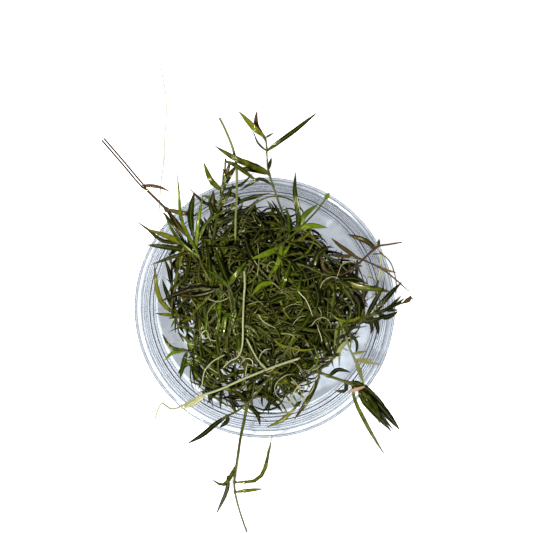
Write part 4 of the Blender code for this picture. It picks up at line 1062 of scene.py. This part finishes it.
def tint(add, factor, under, colour):
    """What is under, and the colour where the factor is one."""
    over = (*colour, 1) if isinstance(colour, tuple) else colour
    return add("ShaderNodeMix", {0: factor, 6: under, 7: over}, data_type="RGBA").outputs[2]


def calculate(add, operation, a, b=0.0):
    return add("ShaderNodeMath", {0: a, 1: b}, operation=operation).outputs[0]


def product(add, a, b):
    return calculate(add, "MULTIPLY", a, b)


def spread(add, value, low, high, to_low=0.0, to_high=1.0, kind="LINEAR"):
    """The value, taken from one range to another."""
    return add("ShaderNodeMapRange", {"Value": value, "From Min": low, "From Max": high,
                                      "To Min": to_low, "To Max": to_high},
               interpolation_type=kind).outputs["Result"]


def smooth_step(add, value, low, high):
    return spread(add, value, low, high, kind="SMOOTHSTEP")


def noise(add, position, scale, detail=3.0):
    return add("ShaderNodeTexNoise", {"Vector": position, "Scale": scale, "Detail": detail}).outputs["Fac"]


def object_position(add):
    return add("ShaderNodeTexCoord").outputs["Object"]


def bump(add, height, strength, distance):
    sockets = {"Height": height, "Strength": strength, "Distance": distance}
    return add("ShaderNodeBump", sockets).outputs["Normal"]


def principled(add, **inputs):
    """A surface shader. Its inputs are named as its sockets are, with _ for a space."""
    sockets = {name.replace("_", " "): value for name, value in inputs.items()}
    return add("ShaderNodeBsdfPrincipled", sockets).outputs["BSDF"]


# Each material's colours from dark to bright, then the stems' where they differ
GRASS = {
    "grass_fresh": [(0.002, 0.003, 0.0001), (0.006, 0.0095, 0.0002), (0.016, 0.027, 0.0005),
                    (0.07, 0.105, 0.003)],
    "grass_olive": [(0.0015, 0.0014, 0.0001), (0.004, 0.004, 0.0002), (0.013, 0.014, 0.0005),
                    (0.09, 0.092, 0.005)],
    "grass_dark": [(0.0007, 0.0008, 0.0001), (0.002, 0.0026, 0.0001), (0.007, 0.0095, 0.0004),
                   (0.07, 0.08, 0.004)],
    "grass_brown": [(0.012, 0.007, 0.002), (0.027, 0.016, 0.005), (0.046, 0.029, 0.01), (0.07, 0.052, 0.018)],
    "grass_pale": [(0.055, 0.056, 0.012), (0.105, 0.11, 0.03), (0.165, 0.17, 0.06), (0.22, 0.235, 0.1)],
    "root_pale": [(0.16, 0.16, 0.07), (0.25, 0.25, 0.12), (0.34, 0.34, 0.18), (0.45, 0.45, 0.28)],
}
GREEN_STEM = [(0.012, 0.01, 0.002), (0.04, 0.044, 0.007), (0.15, 0.165, 0.05)]
STEM_TONES = {
    "grass_brown": [(0.012, 0.007, 0.003), (0.04, 0.022, 0.01), (0.075, 0.05, 0.025)],
    "root_pale": [(0.14, 0.14, 0.07), (0.21, 0.215, 0.11), (0.28, 0.285, 0.16)],
    "grass_pale": [(0.05, 0.055, 0.015), (0.11, 0.12, 0.04), (0.19, 0.2, 0.085)],
}
MIDRIB = (0.09, 0.115, 0.022)
LEAF_BASE = (0.09, 0.1, 0.03)
WITHERED = (0.035, 0.019, 0.007)
BROWN_LEAF = (0.05, 0.027, 0.016)
TAN_LEAF = (0.24, 0.15, 0.09)
SEEN_THROUGH = (0.1, 0.15, 0.003)
PLASTIC = [(0.35, 0.39, 0.45), (0.51, 0.55, 0.6), (0.71, 0.74, 0.78)]


def grass_surface(add, name):
    """Wet plant: its tone changes from leaf to leaf, with a paler base and midrib and some brown."""
    paint = add("ShaderNodeAttribute", attribute_name="paint")
    parts = add("ShaderNodeSeparateColor", {"Color": paint.outputs["Color"]})
    tone, along, across = (parts.outputs[k] for k in ("Red", "Green", "Blue"))
    kind = paint.outputs["Alpha"]
    position = object_position(add)
    patches = noise(add, position, 90)
    mottle = calculate(add, "SUBTRACT", product(add, noise(add, position, 420), 0.8), 0.4)
    colour = ramp(add, calculate(add, "ADD", tone, mottle), GRASS[name])
    stemlike = smooth_step(add, kind, 0.2, 0.4)
    on_leaf = calculate(add, "SUBTRACT", 1.0, stemlike)
    stem = ramp(add, patches, STEM_TONES.get(name, GREEN_STEM))
    colour = tint(add, product(add, stemlike, 0.8), colour, stem)
    off_middle = calculate(add, "ABSOLUTE", calculate(add, "SUBTRACT", across, 0.5))
    rib = product(add, smooth_step(add, off_middle, 0.1, 0.02), on_leaf)
    colour = tint(add, product(add, rib, 0.35), colour, MIDRIB)
    base = product(add, smooth_step(add, along, 0.16, 0.0), on_leaf)
    colour = tint(add, product(add, base, 0.45), colour, LEAF_BASE)
    tipward = product(add, smooth_step(add, along, 0.3, 1.0), on_leaf)
    worn = product(add, smooth_step(add, patches, 0.56, 0.7), tipward)
    colour = tint(add, product(add, worn, 0.8), colour, WITHERED)
    colour = tint(add, smooth_step(add, kind, 0.55, 0.65), colour, BROWN_LEAF)
    colour = tint(add, smooth_step(add, kind, 0.8, 0.9), colour, TAN_LEAF)
    film = noise(add, position, 700)
    veins = add("ShaderNodeTexWave", {"Vector": paint.outputs["Color"], "Scale": 2.2, "Distortion": 1.0},
                bands_direction="Z").outputs["Fac"]
    ridges = calculate(add, "ADD", product(add, veins, 0.4), film)
    surface = principled(add, Base_Color=colour, Roughness=spread(add, film, 0.35, 0.65, 0.05, 0.17),
                         Normal=bump(add, ridges, 0.35, 0.0003), IOR=1.4, Specular_IOR_Level=0.22,
                         Specular_Tint=(1, 0.92, 0.45, 1))
    glow = add("ShaderNodeBsdfTranslucent", {"Color": tint(add, 0.15, colour, SEEN_THROUGH)})
    return add("ShaderNodeMixShader", {0: 0.16, 1: surface, 2: glow.outputs["BSDF"]}).outputs[0]


def plastic_surface(add):
    """Clear plastic, a little hazy and grey, mottled by a film of water, with painted shade in dark rings at
    its thick edges and steps.
    """
    position = object_position(add)
    film, fine = noise(add, position, 160, 5), noise(add, position, 900, 2)
    colour = ramp(add, film, PLASTIC)
    place = add("ShaderNodeSeparateXYZ", {"Vector": position})
    flat = add("ShaderNodeCombineXYZ", {"X": place.outputs["X"], "Y": place.outputs["Y"]})
    radius = add("ShaderNodeVectorMath", {0: flat.outputs[0]}, operation="LENGTH").outputs["Value"]
    # Painted shade: each ring darkens the plastic's colour where its edges and steps look dark
    for inner, middle, outer in EDGE_SHADE_LINES:
        ring = product(add, smooth_step(add, radius, inner * MM, middle * MM),
                       smooth_step(add, radius, outer * MM, middle * MM))
        colour = tint(add, product(add, ring, 0.9), colour, EDGE_SHADE_TINT)
    height = calculate(add, "ADD", film, product(add, fine, 0.25))
    return principled(add, Base_Color=colour, Roughness=spread(add, fine, 0.3, 0.7, 0.02, 0.07),
                      Normal=bump(add, height, 0.15, 0.0005), IOR=1.49, Specular_IOR_Level=0.3,
                      Transmission_Weight=0.95)


def water_surface(add):
    ripple = noise(add, object_position(add), 300, 1)
    return principled(add, Base_Color=(0.95, 0.97, 1, 1), Roughness=0.03,
                      Normal=bump(add, ripple, 0.1, 0.0003), IOR=1.33, Transmission_Weight=1.0)


def floor_surface(add):
    return principled(add, Base_Color=(0.55, 0.55, 0.55, 1), Roughness=0.8,
                      Emission_Color=(1, 1, 1, 1), Emission_Strength=0.9)


def supported(section):
    """The section with a point just inside both ends of each long side, so that it shades flat."""
    points = [section[0]]
    for a, b in zip(section, section[1:]):
        near = CORNER_SUPPORT / math.dist(a, b)
        if near < 0.25:
            for share in (near, 1 - near):
                points.append((a[0] + (b[0] - a[0]) * share, a[1] + (b[1] - a[1]) * share))
        points.append(b)
    return points


def make_cup(finish):
    """The cup, spun from its moulded section."""
    bm = bmesh.new()
    verts = [bm.verts.new((r * MM, 0, z * MM)) for r, z in supported(CUP_SECTION)]
    edges = [bm.edges.new(pair) for pair in zip(verts, verts[1:])]
    bmesh.ops.spin(bm, geom=[*verts, *edges], axis=(0, 0, 1), cent=(0, 0, 0), angle=math.tau,
                   steps=CUP_SEGMENTS, use_merge=True)
    bmesh.ops.remove_doubles(bm, verts=bm.verts, dist=1e-6)
    bmesh.ops.recalc_face_normals(bm, faces=bm.faces)
    settle("clear_cup", as_mesh(bm, "clear_cup"), finish, "cup_plastic", "cup")


def inside_wall(height):
    """The moulded wall's inner radius at a height."""
    inner = [(z, r) for r, z in CUP_SECTION[WALL_POINTS]]
    return float(np.interp(height, *zip(*inner)))


def make_drops(finish, rng):
    """Water drops and bubbles on the cup's wall and floor, two in three of them in crowds."""
    ball = bmesh.new()
    bmesh.ops.create_uvsphere(ball, u_segments=10, v_segments=7, radius=1)
    mesh, points = as_template(ball)
    piece = Piece()
    for k in range(DROPS):
        bearing = math.radians(rng.uniform(0, 360))
        size = rng.uniform(*DROP_SIZES)
        if k % 3:
            middle, width, grow = DROP_CROWDS[k % len(DROP_CROWDS)]
            bearing = math.radians(rng.normal(middle, width))
            size += rng.uniform(0, 0.3) * grow
        outward = Vector((math.cos(bearing), math.sin(bearing), 0))
        if rng.uniform() < 0.5:
            height = rng.uniform(3, 43)
            centre = outward * (inside_wall(height) - 0.05) + UP * height
            normal = -outward
        else:
            centre = outward * rng.uniform(38, 48.5) + UP * 0.98
            normal = UP
        turn = np.array(normal.to_track_quat("Z", "Y").to_matrix())
        sizes = np.array((1, rng.uniform(0.8, 1.1), rng.uniform(0.4, 0.6))) * size
        piece.add(mesh, (points * sizes) @ turn.T + np.array(centre), 0, 0, 0, LEAF)
    piece.finish("water_drops", finish, "cup_plastic")


def make_threads(finish, rng):
    """Fine pale roots that curl over the heap, in loose crowds."""
    piece = Piece()
    for k in range(THREADS):
        crowd = k % len(THREAD_CROWDS)
        x, y, z = THREAD_CROWDS[crowd]
        for _ in range(THREAD_TRIES):
            start = (x + rng.normal(0, THREAD_SPREAD), y + rng.normal(0, THREAD_SPREAD),
                     z + rng.normal(0, 1.2))
            heading = Vector((rng.normal(), rng.normal(), rng.normal(0, 0.25)))
            route = bend_route(start, heading, rng.uniform(*THREAD_LENGTHS), rng, 0.3, pieces=9)
            line = Line([(a, b, c + 0.35 * (z - c)) for a, b, c in route], fineness=5)
            if fits(line, 0.2, margin=4.0):
                kind = BROWN if crowd < BROWN_CROWDS and rng.uniform() < 0.6 else LEAF
                add_tube(piece, line, rng.uniform(*THREAD_RADII), rng.uniform(0, 1), kind=kind, taper=0.5)
                break
    piece.finish("fine_root_threads", finish, "root_pale")


def add_to_scene(obj):
    bpy.context.scene.collection.objects.link(obj)
    return obj


def make_stage():
    """A pale floor, a soft white surround, a crisp key light from high up, and the camera above."""
    scene = bpy.context.scene
    scene.view_settings.view_transform = "Standard"
    bm = bmesh.new()
    bmesh.ops.create_grid(bm, x_segments=2, y_segments=2, size=20)
    mesh = as_mesh(bm, "floor")
    mesh.materials.append(make_material("pale_floor", floor_surface))
    floor = add_to_scene(bpy.data.objects.new("floor", mesh))
    floor.location.z = -0.0003
    world = bpy.data.worlds.new("surround")
    scene.world = world
    world.use_nodes = True
    background = world.node_tree.nodes["Background"]
    background.inputs["Color"].default_value = (0.97, 0.985, 1, 1)
    background.inputs["Strength"].default_value = SURROUND_STRENGTH
    sun = bpy.data.lights.new("key", "SUN")
    sun.energy = SUN_STRENGTH
    sun.angle = math.radians(SUN_WIDTH)
    key = add_to_scene(bpy.data.objects.new("key", sun))
    key.location = SUN_FROM
    key.rotation_euler = (-key.location).to_track_quat("-Z", "Y").to_euler()
    camera = bpy.data.cameras.new("camera")
    camera.sensor_width = 36
    camera.lens = LENS
    camera.clip_start = 0.01
    above = add_to_scene(bpy.data.objects.new("camera", camera))
    above.location = [c * MM for c in EYE]
    scene.camera = above


def dress():
    """Every piece of the plant and the cup, in place of its solid."""
    finishes = {name: make_material(name, partial(grass_surface, name=name)) for name in GRASS}
    make_cup(make_material("clear_plastic", plastic_surface))
    plants = lay_heap()
    rng = np.random.default_rng(DRESS_SEED)
    template = blade_template()
    bare = {*BARE_STEMS, *(root.name for root in ROOTS)}
    for plant in plants:
        plant.drawn = len(plant.leaves)
        if plant.name not in bare:
            dress_strand(plant, rng, below=plant.name not in TOP_NAMES)
    hosts = [plant for plant in plants if plant.name.startswith("strand_")]
    for k, runner in enumerate(lay_runners(rng)):
        hosts[k % len(hosts)].shoots.append(runner)
    for plant in plants:
        piece = Piece()
        add_plant(piece, plant, template, rng)
        piece.finish("plant_" + plant.name, finishes[plant.tone], plant.tone, plant.name)
    make_threads(finishes["root_pale"], rng)
    make_drops(make_material("water_drops", water_surface), rng)


make_stage()
dress()
